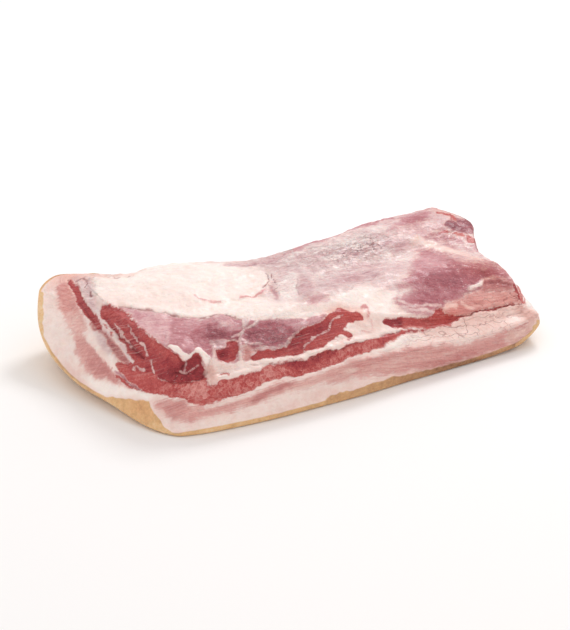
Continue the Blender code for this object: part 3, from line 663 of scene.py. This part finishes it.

# Soft places where a tissue changes: what changes there (tone as above, warm more orange above 0,
# wrinkled by puckers, grainy by fibre bundles cut across), middle, half length and half width in
# pixels, turn in the photograph, and how much.
PLACES = (
    ("dark purple of the near muscle", "tone", (200, 336), 14, 8, 20, -0.3),
    ("pale fleck of the near muscle", "tone", (187, 322), 7, 4, 0, 0.5),
    ("foot of the near muscle", "tone", (185, 345), 14, 4, 8, 0.4),
    ("middle lean, pale stretch", "tone", (243, 388), 18, 5, -15, 0.2),
    ("middle lean, right", "tone", (362, 349), 22, 5, -17, 0.25),
    ("dull left end of the middle lean", "tone", (140, 382), 16, 7, 20, -0.1),
    ("pink lean, left", "tone", (215, 408), 26, 6, -8, 0.2),
    ("pink lean between the streaks", "tone", (300, 389), 30, 5, -17, 0.5),
    ("pink lean, far end", "tone", (500, 338), 16, 7, -17, -0.2),
    ("white fat of the curled end", "tone", (56, 330), 18, 40, -20, 0.3),
    ("dull fat near the rind", "tone", (78, 375), 18, 6, 40, -0.8),
    ("pinkish fat above the rind", "tone", (300, 402), 60, 6, -17, -0.2),
    ("pinkish fat above the rind, right", "tone", (470, 362), 60, 6, -15, -0.5),
    ("blush on the fat pad", "tone", (185, 298), 16, 6, 20, -0.45),
    ("blush at the fat pad's left", "tone", (115, 300), 20, 6, 0, -0.2),
    ("blush at the fat pad's edge", "tone", (255, 291), 14, 5, -15, -0.4),
    ("dull seam beside the white band", "tone", (300, 307), 26, 4, -5, -0.5),
    ("shine on the right muscle", "tone", (436, 291), 34, 4, 0, 0.2),
    ("purple of the right muscle", "tone", (440, 277), 28, 6, -3, -0.3),
    ("pale left of the right muscle", "tone", (402, 290), 10, 8, 0, 0.5),
    ("skin near the tendon", "tone", (400, 254), 16, 8, -20, 0.3),
    ("grey skin behind the fat pad", "tone", (262, 264), 26, 5, -15, -0.4),
    ("far corner", "tone", (440, 219), 9, 6, 20, 0.1),
    ("pink rim of the curled end", "warm", (76, 274), 28, 6, -5, 0.4),
    ("salmon head of the pink lean", "warm", (66, 296), 9, 14, 0, 0.15),
    ("red stain of the pink lean", "tone", (62, 294), 5, 9, 0, -0.3),
    ("orange end of the right cut", "warm", (352, 314), 14, 6, 10, 0.45),
    ("orange upper border of the right cut", "warm", (331, 314), 9, 4, -40, 0.3),
    ("orange foot of the right muscle, warm", "warm", (462, 308), 22, 7, -12, 0.3),
    ("orange right tip", "warm", (505, 299), 18, 6, -5, 0.25),
    ("red strip's right end", "warm", (448, 318), 14, 5, -15, 0.4),
    ("red top of the right muscle, warm", "warm", (482, 270), 24, 8, 10, 0.5),
    ("red top of the right muscle, deep", "tone", (486, 268), 22, 7, 12, -0.4),
    ("warm rim at the far corner", "warm", (440, 210), 18, 4, 20, 0.3),
    ("golden rind of the corner", "warm", (140, 408), 14, 8, 30, 0.2),
    ("muscle shining through the skin", "tone", (352, 278), 22, 6, -15, -0.6),
    ("low muscle shining through", "tone", (385, 290), 13, 6, -10, -0.5),
    ("muscle spot in the seam skin", "tone", (402, 244), 8, 4, -10, -0.6),
    ("second muscle spot", "tone", (400, 266), 9, 5, -10, -0.5),
    ("muscle's shade at the far right", "tone", (424, 219), 6, 3, 10, -0.4),
    ("dull far corner", "tone", (446, 224), 22, 14, 20, -0.4),
    ("dull skin at the far right", "tone", (436, 236), 20, 6, 20, -1.2),
    ("far muscle's shade", "tone", (410, 222), 20, 8, -20, -0.5),
    ("pale skin of the far side", "tone", (325, 252), 30, 6, -15, 0.7),
    ("pale skin of the far middle", "tone", (365, 246), 22, 8, -15, 0.4),
    ("dark rind at the right", "tone", (452, 366), 70, 8, -15, -0.6),
    ("wrinkled muscle, puckers", "wrinkled", (270, 335), 27, 12, 0, 1.0),
    ("puckers beside the thin place", "wrinkled", (214, 334), 8, 8, 0, 0.8),
    ("puckers of the far side", "wrinkled", (330, 253), 36, 9, -12, 0.6),
    ("puckers behind the fat pad", "wrinkled", (266, 264), 22, 7, -10, 0.4),
    ("puckers of the far middle", "wrinkled", (372, 247), 22, 14, -10, 0.5),
    ("puckers of the middle skin", "wrinkled", (330, 280), 40, 14, -10, 0.25),
    ("puckers beside the dark lean", "wrinkled", (89, 292), 8, 16, 0, 0.4),
    ("puckers of the right muscle", "wrinkled", (428, 286), 30, 7, 0, 0.35),
    ("strands of the left cut", "stranded", (128, 344), 30, 13, 50, 0.6),
    ("dark of the left cut", "tone", (182, 370), 26, 9, 5, -0.5),
    # Painted shade in the left cut's hollow.
    ("dark of the left cut's hollow", "tone", (132, 346), 16, 8, 50, -0.2),
    ("dark of the left cut's rim", "tone", (124, 317), 24, 8, 40, -0.35),
    ("dark of the wrinkled muscle", "tone", (272, 335), 24, 9, 0, -0.3),
    ("dark of the right muscle", "tone", (440, 283), 30, 10, 0, -0.3),
    ("pale end of the pink lean's middle", "tone", (400, 360), 60, 6, -15, 0.5),
    ("ledge, pinkish", "tone", (480, 322), 50, 10, -12, -0.5),
    ("lilac foot's shade", "tone", (428, 305), 26, 5, 0, -0.8),
    ("shade above the rind's right half", "tone", (430, 367), 34, 4, -15, -0.2),
    ("pale rind at the left", "tone", (230, 427), 60, 8, -12, 0.5),
    ("cracks of the ledge", "cracked", (470, 327), 52, 9, -12, 0.8),
    ("cracks of the right tip", "cracked", (500, 299), 26, 6, 5, 0.5),
    ("cracks of the far side's skin", "cracked", (345, 252), 34, 8, -12, 0.7),
    ("cracks of the far middle's skin", "cracked", (372, 244), 14, 10, 0, 0.5),
    ("cracks beside the fat pad", "cracked", (278, 284), 9, 9, 0, 0.7),
    ("strands at the curled end", "stranded", (108, 344), 24, 7, 55, 0.7),
    ("strands of the right cut", "stranded", (315, 338), 30, 11, -25, 0.45),
    ("strands under the tag", "stranded", (226, 368), 16, 10, -10, 0.6),
    ("streaks of the pink lean, left", "stranded", (230, 404), 50, 9, -12, 0.45),
    ("streaks of the pink lean, middle", "stranded", (340, 376), 60, 9, -17, 0.8),
    ("streaks of the pink lean, right", "stranded", (460, 350), 66, 9, -14, 0.6),
    ("streaks above the tendon", "stranded", (462, 246), 26, 8, 35, 0.6),
    ("blush at the fat pad's near edge", "tone", (150, 304), 26, 4, 8, -0.5),
    ("streaks of the red strip", "stranded", (430, 321), 40, 6, -6, 0.6),
    ("streaks of the right tip", "stranded", (498, 300), 26, 6, 5, 0.4),
    ("scored cut, dark", "tone", (500, 284), 18, 6, 5, -0.5),
    ("middle lean, left part", "grainy", (180, 388), 40, 14, 5, 1.0),
    ("middle lean, middle part", "grainy", (265, 376), 46, 14, -17, 1.0),
    ("middle lean, right part", "grainy", (350, 350), 46, 14, -17, 1.0),
    ("rim of the left cut, grain", "grainy", (160, 350), 34, 10, 40, 0.8),
    ("upper rim of the left cut, grain", "grainy", (118, 316), 22, 8, 40, 0.8),
)


def rounded(outline, closed):
    """A smooth line through the points of an outline: four short steps from each to the next."""
    outline = np.array(outline, float)
    if closed:
        before, after = np.roll(outline, 1, axis=0), np.roll(outline, -1, axis=0)
        ends, beyond = after, np.roll(outline, -2, axis=0)
        starts = outline
    else:
        wide = np.concatenate([outline[:1], outline, outline[-1:]])
        before, starts, ends, beyond = wide[:-3], wide[1:-2], wide[2:-1], wide[3:]
    steps = []
    for t in (0.0, 0.25, 0.5, 0.75):
        curve = 2 * starts + (ends - before) * t
        curve += (2 * before - 5 * starts + 4 * ends - beyond) * t**2
        curve += (3 * starts - before - 3 * ends + beyond) * t**3
        steps.append(curve / 2)
    line = np.stack(steps, axis=1).reshape(-1, 2)
    return np.concatenate([line, line[:1] if closed else outline[-1:]])


def depth_inside(outline, closed=True):
    """Millimetres from each vertex to an outline in the photograph, positive inside a closed one."""
    line = rounded(outline, closed)
    reach = -NOWHERE / PIXEL
    near = ((pixels > line.min(axis=0) - reach) & (pixels < line.max(axis=0) + reach)).all(axis=1)
    x, y = pixels[near].T
    shortest = np.full(len(x), reach)
    inside = np.zeros(len(x), bool)
    for (x0, y0), (x1, y1) in zip(line, line[1:]):
        dx, dy = x1 - x0, y1 - y0
        t = np.clip(((x - x0) * dx + (y - y0) * dy) / max(dx * dx + dy * dy, 1e-9), 0, 1)
        shortest = np.minimum(shortest, np.hypot(x - x0 - t * dx, y - y0 - t * dy))
        if dy:
            inside ^= ((y0 > y) != (y1 > y)) & (x < x0 + (y - y0) * dx / dy)
    depth = np.full(count, NOWHERE)
    depth[near] = np.where(inside & closed, shortest, -shortest) * PIXEL
    return depth


def lay(tissues, name, inside):
    """Puts a tissue where `inside` is positive, over what lies there."""
    for other in tissues:
        sign = 1 if other == name else -1
        better = np.maximum if other == name else np.minimum
        tissues[other] = better(tissues[other], sign * inside)


def smooth_step(value):
    value = np.clip(value, 0.0, 1.0)
    return value * value * (3 - 2 * value)


# Meat tears unevenly: each border wanders by so many pixels over so many millimetres.
WANDER = ((9.0, 1.8), (3.4, 1.3))
pixels = in_photo(points)
for size, reach in WANDER:
    torn = np.array([noise.noise_vector(Vector(p) / size) for p in points])
    pixels = pixels + torn[:, :2] * reach
seen = {name: np.full(count, NOWHERE) for name in TISSUES}
seen["fat"][:] = -NOWHERE
relief = np.zeros(count)
changes = {name: np.zeros(count) for name in CHANGES}
for _, tissue, tone, rise, edge, outline in PATCHES:
    inside = depth_inside(outline)
    lay(seen, tissue, inside / edge)
    share = smooth_step(inside / edge / 2 + 0.5)
    relief += rise * share
    changes["tone"] += share * (tone - changes["tone"])
for _, kind, amount, half_width, rise, outline in STROKES:
    away = -depth_inside(outline, closed=False)
    strength = np.exp(-((away / (half_width * PIXEL)) ** 2))
    relief += rise * strength
    if kind in TISSUES:
        lay(seen, kind, half_width * PIXEL - away)
        changes["tone"] += strength * (amount - changes["tone"])
    else:
        changes[kind] = np.maximum(changes[kind], amount * strength)
for _, kind, centre, half_length, half_width, turn, amount in PLACES:
    turn = np.radians(turn)
    dx, dy = (pixels - centre).T
    along = (dx * np.cos(turn) + dy * np.sin(turn)) / half_length
    beside = (dy * np.cos(turn) - dx * np.sin(turn)) / half_width
    changes[kind] += amount * np.exp(-(along**2 + beside**2) / 1.4)

# The right end and the far side are out of the photograph: there the layers run on by their height
# up the face, with wavy borders. The rind is known by that height on every side.
lengths = np.linalg.norm(np.diff(rings, axis=0), axis=2)
climb = np.concatenate([np.zeros((1, len(stations))), np.cumsum(lengths, axis=0)])
borders = climb[CURL_ROWS + np.cumsum((0,) + LAYER_ROWS)]
WAVE_LENGTH, WAVE_HEIGHT = 34.0, 4.0
RIPPLE_LENGTH, RIPPLE_HEIGHT = 6.0, 0.9
THICKNESS_LENGTH, THICKNESS_SWING, LAYERS_APART = 30.0, 4.5, 9.0
HIDDEN_TONE_LENGTH, HIDDEN_TONE_SWING, HIDDEN_STRANDS = 24.0, 1.6, 0.6
TOP_OVERLAP = 3.0
RIND_THICKNESS, CURLED_RIND_THICKNESS = 3.4, 1.7

side = np.where(on_side, column, 0)
height = climb[row, side]
edge_points = rings[-1][side] - middle
station = stations[side]
wave = np.array([noise.noise(Vector(p) / WAVE_LENGTH) for p in points]) * WAVE_HEIGHT
ripple = np.array([noise.noise(Vector(p) / RIPPLE_LENGTH) for p in points]) * RIPPLE_HEIGHT
waved = height + wave + ripple
hidden = {name: np.full(count, NOWHERE) for name in TISSUES}
hidden["fat"][:] = -NOWHERE
for layer, name in enumerate(LAYERS):
    low, high = borders[layer][side], borders[layer + 1][side]
    apart = Vector((0, 0, LAYERS_APART * layer))
    thicker = np.array([noise.noise(Vector(p) / THICKNESS_LENGTH + apart) for p in points])
    lay(hidden, name, np.minimum(waved - low, high - waved) + thicker * THICKNESS_SWING)
top_of = {}
for name in TISSUES:
    along_edge = np.zeros(len(stations))
    rim = on_side & (row == ALL_ROWS)
    along_edge[column[rim]] = seen[name][rim]
    top_of[name] = along_edge[side]
below_top = climb[-1][side] - height
from_top = smooth_step((below_top + wave + ripple / 2) / TOP_OVERLAP - 0.5)
CORNER_BLEND = 0.1
out_of_view = smooth_step((station - 1.0) / CORNER_BLEND) * smooth_step((3.0 - station) / CORNER_BLEND)
out_of_view = np.where(on_side, out_of_view, 0.0)
tissues = {}
for name in TISSUES:
    unseen = top_of[name] * (1 - from_top) + hidden[name] * from_top
    tissues[name] = seen[name] * (1 - out_of_view) + unseen * out_of_view
curled_share = smooth_step((station - 2.9) / 0.2) + smooth_step((0.14 - station) / 0.1)
rind_thick = RIND_THICKNESS + (CURLED_RIND_THICKNESS - RIND_THICKNESS) * curled_share
rind_top = climb[CURL_ROWS][side] + rind_thick
lay(tissues, "rind", np.where(on_side, rind_top - height - ripple / 3, NOWHERE))
relief *= np.where(on_side, smooth_step((height - rind_top) / 4) * (1 - out_of_view), 1.0)
for kind in changes:
    changes[kind] *= 1 - out_of_view
patchy = np.array([noise.noise(Vector(p) / HIDDEN_TONE_LENGTH) for p in points])
changes["tone"] += out_of_view * patchy * HIDDEN_TONE_SWING
changes["stranded"] += out_of_view * HIDDEN_STRANDS

# Relief of the tissues: lobes of the fat, wrinkles of the membranes and the grain of the lean.
LOBE_LENGTH, LOBE_HEIGHT = 15.0, 0.9
PUCKER_LENGTH, PUCKER_HEIGHT = 5.0, 0.45
RIDGE_LENGTH, RIDGE_HEIGHT = 6.5, 1.3


def turbulence(size, octaves):
    return np.array([noise.fractal(Vector(p) / size, 1.0, 2.0, octaves) for p in points])


above_rind = np.where(on_side, smooth_step((height - rind_top) / 4), 1.0)
relief += LOBE_HEIGHT * turbulence(LOBE_LENGTH, 3) * above_rind
relief += PUCKER_HEIGHT * turbulence(PUCKER_LENGTH, 2) * above_rind
relief += RIDGE_HEIGHT * (0.5 - np.abs(turbulence(RIDGE_LENGTH, 2))) * changes["wrinkled"]
normals = np.empty(count * 3, np.float32)
slab.data.vertex_normals.foreach_get("vector", normals)
shaped = points + normals.reshape(-1, 3) * relief[:, None]
set_points(slab, shaped)


def keep_on(piece, name, values, kind="FLOAT", field="value"):
    """Stores a value for each vertex of a piece, which its material reads by name."""
    stored = piece.data.attributes.new(name, kind, "POINT")
    stored.data.foreach_set(field, np.asarray(values, np.float32).ravel())


for name, values in {**tissues, **changes}.items():
    keep_on(slab, name, values)
# The grain runs round the slab from its far left corner to its near right tip both ways, so that it
# meets itself at both and no line shows where it starts.
steps_round = np.linalg.norm(np.diff(rings[-1], axis=0, append=rings[-1][:1]), axis=1)
around = np.cumsum(steps_round) - steps_round
whole_way = steps_round.sum()
from_far_left = (around - around[2 * LONG_CELLS + SHORT_CELLS]) % whole_way
half_way = from_far_left[LONG_CELLS]
way_back = (whole_way - from_far_left) * half_way / (whole_way - half_way)
folded = np.where(from_far_left <= half_way, from_far_left, way_back)
folded += (rings[-1][0] - middle)[0] - folded[0]
run_side = np.column_stack([folded[side], height - climb[-1][side] + edge_points[:, 1]])
run = np.where(on_side[:, None], run_side, points[:, :2])
keep_on(slab, "run", np.column_stack([run, np.zeros(count)]), "FLOAT_VECTOR", "vector")
keep_on(slab, "curled_end", np.where(on_side, smooth_step((station - 3.0) / 0.1), 0.0))
bpy.ops.object.shade_smooth()


# Raw pork: wet muscle, fat and connective tissue, cut with a knife. The cut lean shows its bundles
# of fibres, the fat is waxy and even, the membranes are thin and shine, and light goes a little way
# into all of them. Grain of the real meat under half a millimetre is drawn coarser, so it shows.
def linear(colour):
    """sRGB hex to the linear colour that a shader takes."""
    parts = [int(colour[i : i + 2], 16) / 255 for i in (1, 3, 5)]
    return (*[p / 12.92 if p <= 0.04045 else ((p + 0.055) / 1.055) ** 2.4 for p in parts], 1.0)


def add(tree, kind, inputs=None, **settings):
    """Adds a node: its settings by name, then its inputs, each a value or another node's output."""
    made = tree.nodes.new(kind)
    for name, value in settings.items():
        setattr(made, name, value)
    for name, value in (inputs or {}).items():
        if isinstance(value, bpy.types.NodeSocket):
            tree.links.new(value, made.inputs[name])
        else:
            made.inputs[name].default_value = value
    return made.outputs[0]


TISSUE_COLOURS = {
    "fat": ("#c98f84", "#eac6bc", "#f6e0d8", "#fff1ea"),
    "skin": ("#985f67", "#c9979b", "#e3c4c2", "#faeae4"),
    "lean": ("#a2585a", "#ca8480", "#e2a8a1", "#f5d2c8"),
    "red": ("#64161e", "#a2383e", "#c45955", "#e5a098"),
    "mauve": ("#86424c", "#b0666e", "#cf959a", "#e7c3c1"),
    "rind": ("#80553e", "#be8f68", "#e6bb88", "#f4d8b4"),
}
BORDERS = {"skin": 1.4, "mauve": 0.9, "lean": 1.1, "red": 0.6, "rind": 0.5}
# The crease colour is painted shade for creases, folds, hollows and cracks.
CREASE_SHADE_COLOUR, VEIN_COLOUR = "#a87779", "#d27d80"
# The gap colour is painted shade between the strands of cut lean.
WARM_COLOUR, GAP_SHADE_COLOUR = "#f0a083", "#8a5052"
FLECK_COLOUR, GLINT_COLOUR, STRAND_COLOUR = "#f0ccc2", "#f6e4e2", "#f3d6cb"
FIBRE, STREAK, BUNDLE, PUCKER = (12.0, 1.2), (30.0, 2.4), (1.7, 2.4), (8.0, 2.6)
STRAND = (20.0, 2.0)
CRACK, CRACK_BEND = (15.0, 6.5), 9.0
MOTTLE, BLOTCH, SPECK = 20.0, 5.5, 1.6
MUSCLE_TURN = np.radians(12)
ONE_TONE = 1 / 3

pork = bpy.data.materials.new("raw pork, cut and wet")
pork.use_nodes = True
tree = pork.node_tree
shader = tree.nodes["Principled BSDF"]


def value_of(name):
    return add(tree, "ShaderNodeAttribute", attribute_name=name).node.outputs["Fac"]


def reckon(how, *terms):
    """One sum of up to three terms, each a number or a node's output."""
    return add(tree, "ShaderNodeMath", dict(enumerate(terms)), operation=how)


def total(*terms):
    result = terms[0]
    for term in terms[1:]:
        result = reckon("ADD", result, term)
    return result


def times(*terms):
    result = terms[0]
    for term in terms[1:]:
        result = reckon("MULTIPLY", result, term)
    return result


def lumps(place, size, detail=3.0, rough=0.6):
    """Noise, mostly from -1 to 1, over a place in millimetres: its lumps are `size` long and wide."""
    scale = [1 / size[0], 1 / size[1], 1 / size[-1]]
    scaled = add(tree, "ShaderNodeVectorMath", {0: place, 1: scale}, operation="MULTIPLY")
    made = add(tree, "ShaderNodeTexNoise", {"Vector": scaled, "Scale": 1.0, "Detail": detail, "Roughness": rough})
    return reckon("MULTIPLY_ADD", made, 4.0, -2.0)


def between(value, low, high):
    """From 0 at the low value to 1 at the high one, with a soft step."""
    ends = {"Value": value, "From Min": low, "From Max": high}
    return add(tree, "ShaderNodeMapRange", ends, interpolation_type="SMOOTHSTEP")


def mixed(share, first, second, how="MIX"):
    colours = {0: share, 6: first, 7: second}
    return add(tree, "ShaderNodeMix", colours, data_type="RGBA", blend_type=how).node.outputs[2]


def ramp(share, colours):
    """The colour at a share of the way along a row of hex colours."""
    made = add(tree, "ShaderNodeValToRGB", {"Fac": share})
    stops = made.node.color_ramp.elements
    stops[0].color, stops[1].color = linear(colours[0]), linear(colours[-1])
    for number, colour in enumerate(colours[1:-1], 1):
        stops.new(number / (len(colours) - 1)).color = linear(colour)
    return made


run_place = add(tree, "ShaderNodeAttribute", attribute_name="run").node.outputs["Vector"]
object_place = add(tree, "ShaderNodeTexCoord").node.outputs["Object"]
place_mm = add(tree, "ShaderNodeVectorMath", {0: object_place, 1: (1 / MM,) * 3}, operation="MULTIPLY")
turned_run = {"Vector": run_place, "Axis": (0, 0, 1), "Angle": MUSCLE_TURN}
muscle_place = add(tree, "ShaderNodeVectorRotate", turned_run, rotation_type="AXIS_ANGLE")
mottle = lumps(place_mm, (MOTTLE, MOTTLE))
blotch = lumps(place_mm, (BLOTCH, BLOTCH), 4.0)
speck = lumps(place_mm, (SPECK, SPECK))
along = lumps(run_place, FIBRE)
crosswise = lumps(run_place, (FIBRE[1] * 1.5, FIBRE[0] * 0.6, 1.0))
fibres = add(tree, "ShaderNodeMix", {0: value_of("curled_end"), 2: along, 3: crosswise})
streaks = lumps(run_place, STREAK, 4.0)
muscle_streaks = lumps(muscle_place, STREAK, 4.0)
muscle_fibres = lumps(muscle_place, (FIBRE[0] * 0.6, FIBRE[1]))
wrinkled, grainy, warm = value_of("wrinkled"), value_of("grainy"), value_of("warm")
tone = reckon("MULTIPLY", value_of("tone"), ONE_TONE)

# Bundles of fibres cut across: cells with pale walls. Puckers: fine ridges that cross each other.
wobble = add(tree, "ShaderNodeTexNoise", {"Vector": run_place, "Scale": 0.25})
cell_scale = {0: run_place, 1: (1 / BUNDLE[0], 1 / BUNDLE[1], 1.0)}
cell_place = add(tree, "ShaderNodeVectorMath", cell_scale, operation="MULTIPLY")
cell_moved = {0: cell_place, 1: wobble.node.outputs["Color"]}
cell_place = add(tree, "ShaderNodeVectorMath", cell_moved, operation="ADD")
cell = add(tree, "ShaderNodeTexVoronoi", {"Vector": cell_place, "Scale": 1.0}).node
cell_shade = add(tree, "ShaderNodeSeparateColor", {0: cell.outputs["Color"]})
cell_walls = add(tree, "ShaderNodeTexVoronoi", {"Vector": cell_place, "Scale": 1.0}, feature="DISTANCE_TO_EDGE")
walls = between(cell_walls, 0.14, 0.0)
bundles = total(reckon("MULTIPLY_ADD", cell_shade, 0.24, -0.13), times(walls, 0.12))
ridges = between(reckon("ABSOLUTE", lumps(muscle_place, PUCKER, 4.0)), 0.25, 0.0)
puckers = times(ridges, total(wrinkled, 0.15))
strands = lumps(run_place, STRAND, 5.0, 0.65)
stranded = value_of("stranded")
pale_strands = times(between(strands, 0.1, 0.8), stranded)
strand_gap_shade = times(between(strands, -0.15, -0.8), stranded)

# Cracks of drying fat and skin: the borders of long cells, bent and broken off by noise; their darkening below is
# painted shade in the cracks.
bend = add(tree, "ShaderNodeTexNoise", {"Vector": run_place, "Scale": 1 / CRACK_BEND, "Detail": 1.5})
crack_scale = {0: run_place, 1: (1 / CRACK[0], 1 / CRACK[1], 1.0)}
crack_place = add(tree, "ShaderNodeVectorMath", crack_scale, operation="MULTIPLY")
crack_moved = {0: bend.node.outputs["Color"], 1: (1.6, 1.6, 0.0), 2: crack_place}
crack_place = add(tree, "ShaderNodeVectorMath", crack_moved, operation="MULTIPLY_ADD")
crack_cells = add(tree, "ShaderNodeTexVoronoi", {"Vector": crack_place, "Scale": 1.0}, feature="DISTANCE_TO_EDGE")
cracks = times(between(crack_cells, 0.05, 0.0), between(blotch, -0.6, 0.1), value_of("cracked"))


def tissue_colour(name, level, *swings):
    """A tissue's colour, by its level from dark to pale, the tone of the place and its patterns."""
    return ramp(total(tone, level, *swings), TISSUE_COLOURS[name])


def tissue_share(name, *swings):
    """Where a tissue shows: its depth in millimetres, made uneven by patterns, over a soft border."""
    return between(total(value_of(name), *swings), -BORDERS[name], BORDERS[name])


skin_share = tissue_share("skin", times(speck, 0.3), times(blotch, 0.7), times(streaks, 0.8))
mauve_share = tissue_share("mauve", times(speck, 0.4), times(blotch, 0.6), times(muscle_streaks, 0.6))
lean_share = tissue_share("lean", times(speck, 0.4), times(blotch, 0.7), times(fibres, 0.9))
red_share = tissue_share("red", times(speck, 0.4), times(blotch, 0.6), times(fibres, 0.2))
rind_share = tissue_share("rind", times(blotch, 0.25), times(speck, 0.15))

fat_swings = (times(mottle, 0.12), times(blotch, 0.13), times(speck, 0.06))
colour = tissue_colour("fat", 0.6, *fat_swings)
skin_swings = (times(mottle, 0.18), times(blotch, 0.16), times(streaks, 0.14), times(speck, 0.06))
colour = mixed(skin_share, colour, tissue_colour("skin", 0.64, *skin_swings, times(puckers, -0.3)))
mauve_swings = (times(mottle, 0.12), times(blotch, 0.15), times(muscle_streaks, 0.13), times(speck, 0.09))
mauve_swings += (times(muscle_fibres, 0.05), times(puckers, 0.25))
colour = mixed(mauve_share, colour, tissue_colour("mauve", 0.46, *mauve_swings))
lean_swings = (times(fibres, 0.15), times(mottle, 0.08), times(streaks, 0.14), times(speck, 0.08))
colour = mixed(lean_share, colour, tissue_colour("lean", 0.57, *lean_swings))
red_grain = add(tree, "ShaderNodeMix", {0: grainy, 2: times(along, 0.16), 3: bundles})
red_swings = (red_grain, times(mottle, 0.08), times(blotch, 0.08), times(speck, 0.12))
colour = mixed(red_share, colour, tissue_colour("red", 0.5, *red_swings))

muscle = reckon("MAXIMUM", red_share, lean_share)
colour = mixed(times(pale_strands, 0.8), colour, linear(STRAND_COLOUR))
# Painted shade in the gaps between the strands of the cut lean.
colour = mixed(times(strand_gap_shade, red_share), colour, linear(GAP_SHADE_COLOUR), "MULTIPLY")
flecks = times(between(lumps(run_place, (3.0, 1.2), 2.0), 0.6, 1.0), muscle, 0.4)
colour = mixed(flecks, colour, linear(FLECK_COLOUR))
glints = times(between(lumps(muscle_place, (3.2, 1.0), 2.0), 0.38, 0.8), between(blotch, -0.2, 0.5), mauve_share)
colour = mixed(times(glints, 0.75), colour, linear(GLINT_COLOUR))
vein_here = between(total(value_of("vein"), times(blotch, 0.3), times(speck, 0.15)), 0.2, 1.1)
colour = mixed(times(vein_here, 0.8), colour, linear(VEIN_COLOUR))
# Painted shade: creases, folds, hollows and cracks are darkened with one shade colour.
crease_shade_here = between(total(value_of("crease_shade"), times(blotch, 0.12), times(speck, 0.05)), 0.12, 0.85)
colour = mixed(reckon("MAXIMUM", crease_shade_here, cracks), colour, linear(CREASE_SHADE_COLOUR), "MULTIPLY")
rind_swings = (times(mottle, 0.1), times(blotch, 0.12), times(speck, 0.1))
colour = mixed(rind_share, colour, tissue_colour("rind", 0.55, *rind_swings))
colour = mixed(warm, colour, linear(WARM_COLOUR), "MULTIPLY")

flesh = reckon("MAXIMUM", muscle, reckon("MAXIMUM", skin_share, mauve_share))
bumps = total(
    times(fibres, muscle, 0.3),
    times(strands, stranded, 0.6),
    times(muscle_fibres, mauve_share, 0.12),
    times(streaks, skin_share, 0.3),
    times(speck, reckon("MULTIPLY_ADD", flesh, 0.18, 0.05)),
    times(blotch, 0.25),
    times(puckers, 0.7),
    times(cracks, -0.6),
)
bump = add(tree, "ShaderNodeBump", {"Height": bumps, "Strength": 1.0, "Distance": 0.9 * MM})
tree.links.new(colour, shader.inputs["Base Color"])
tree.links.new(bump, shader.inputs["Normal"])
tree.links.new(reckon("MULTIPLY_ADD", speck, 0.08, 0.5), shader.inputs["Roughness"])
shader.inputs["IOR"].default_value = 1.4
shader.inputs["Specular IOR Level"].default_value = 0.25
shader.inputs["Subsurface Weight"].default_value = 0.2
shader.inputs["Subsurface Radius"].default_value = (1.0, 0.35, 0.25)
shader.inputs["Subsurface Scale"].default_value = 1.2 * MM
shader.inputs["Coat Weight"].default_value = 0.32
shader.inputs["Coat Roughness"].default_value = 0.18
shader.inputs["Coat IOR"].default_value = 1.35
slab.data.materials.append(pork)
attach(slab, "root")
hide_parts("pork_belly_slab")

# The surface that the slab lies on, and the light: a white sheet in a bright white studio, with one
# soft lamp behind the slab's right, so that its shadow falls towards the near left.
bpy.ops.object.select_all(action="DESELECT")
bpy.ops.mesh.primitive_plane_add(size=30, location=(0, 0, 0))
floor = bpy.context.object
floor.name = "floor"
sheet = bpy.data.materials.new("white paper sheet")
sheet.use_nodes = True
sheet.node_tree.nodes["Principled BSDF"].inputs["Base Color"].default_value = linear("#f6f4f3")
sheet.node_tree.nodes["Principled BSDF"].inputs["Roughness"].default_value = 0.9
floor.data.materials.append(sheet)

sky = bpy.data.worlds.new("bright studio")
sky.use_nodes = True
sky.node_tree.nodes["Background"].inputs["Color"].default_value = (1.0, 0.98, 0.97, 1.0)
sky.node_tree.nodes["Background"].inputs["Strength"].default_value = 0.9
bpy.context.scene.world = sky
bpy.ops.object.light_add(type="AREA", location=(0.8, 0.6, 1.1))
lamp = bpy.context.object
lamp.data.size = 0.45
lamp.data.energy = 8.5
lamp.data.color = (0.97, 0.985, 1.0)
lamp.rotation_euler = (-lamp.location).to_track_quat("-Z", "Y").to_euler()
bpy.context.scene.view_settings.view_transform = "Standard"
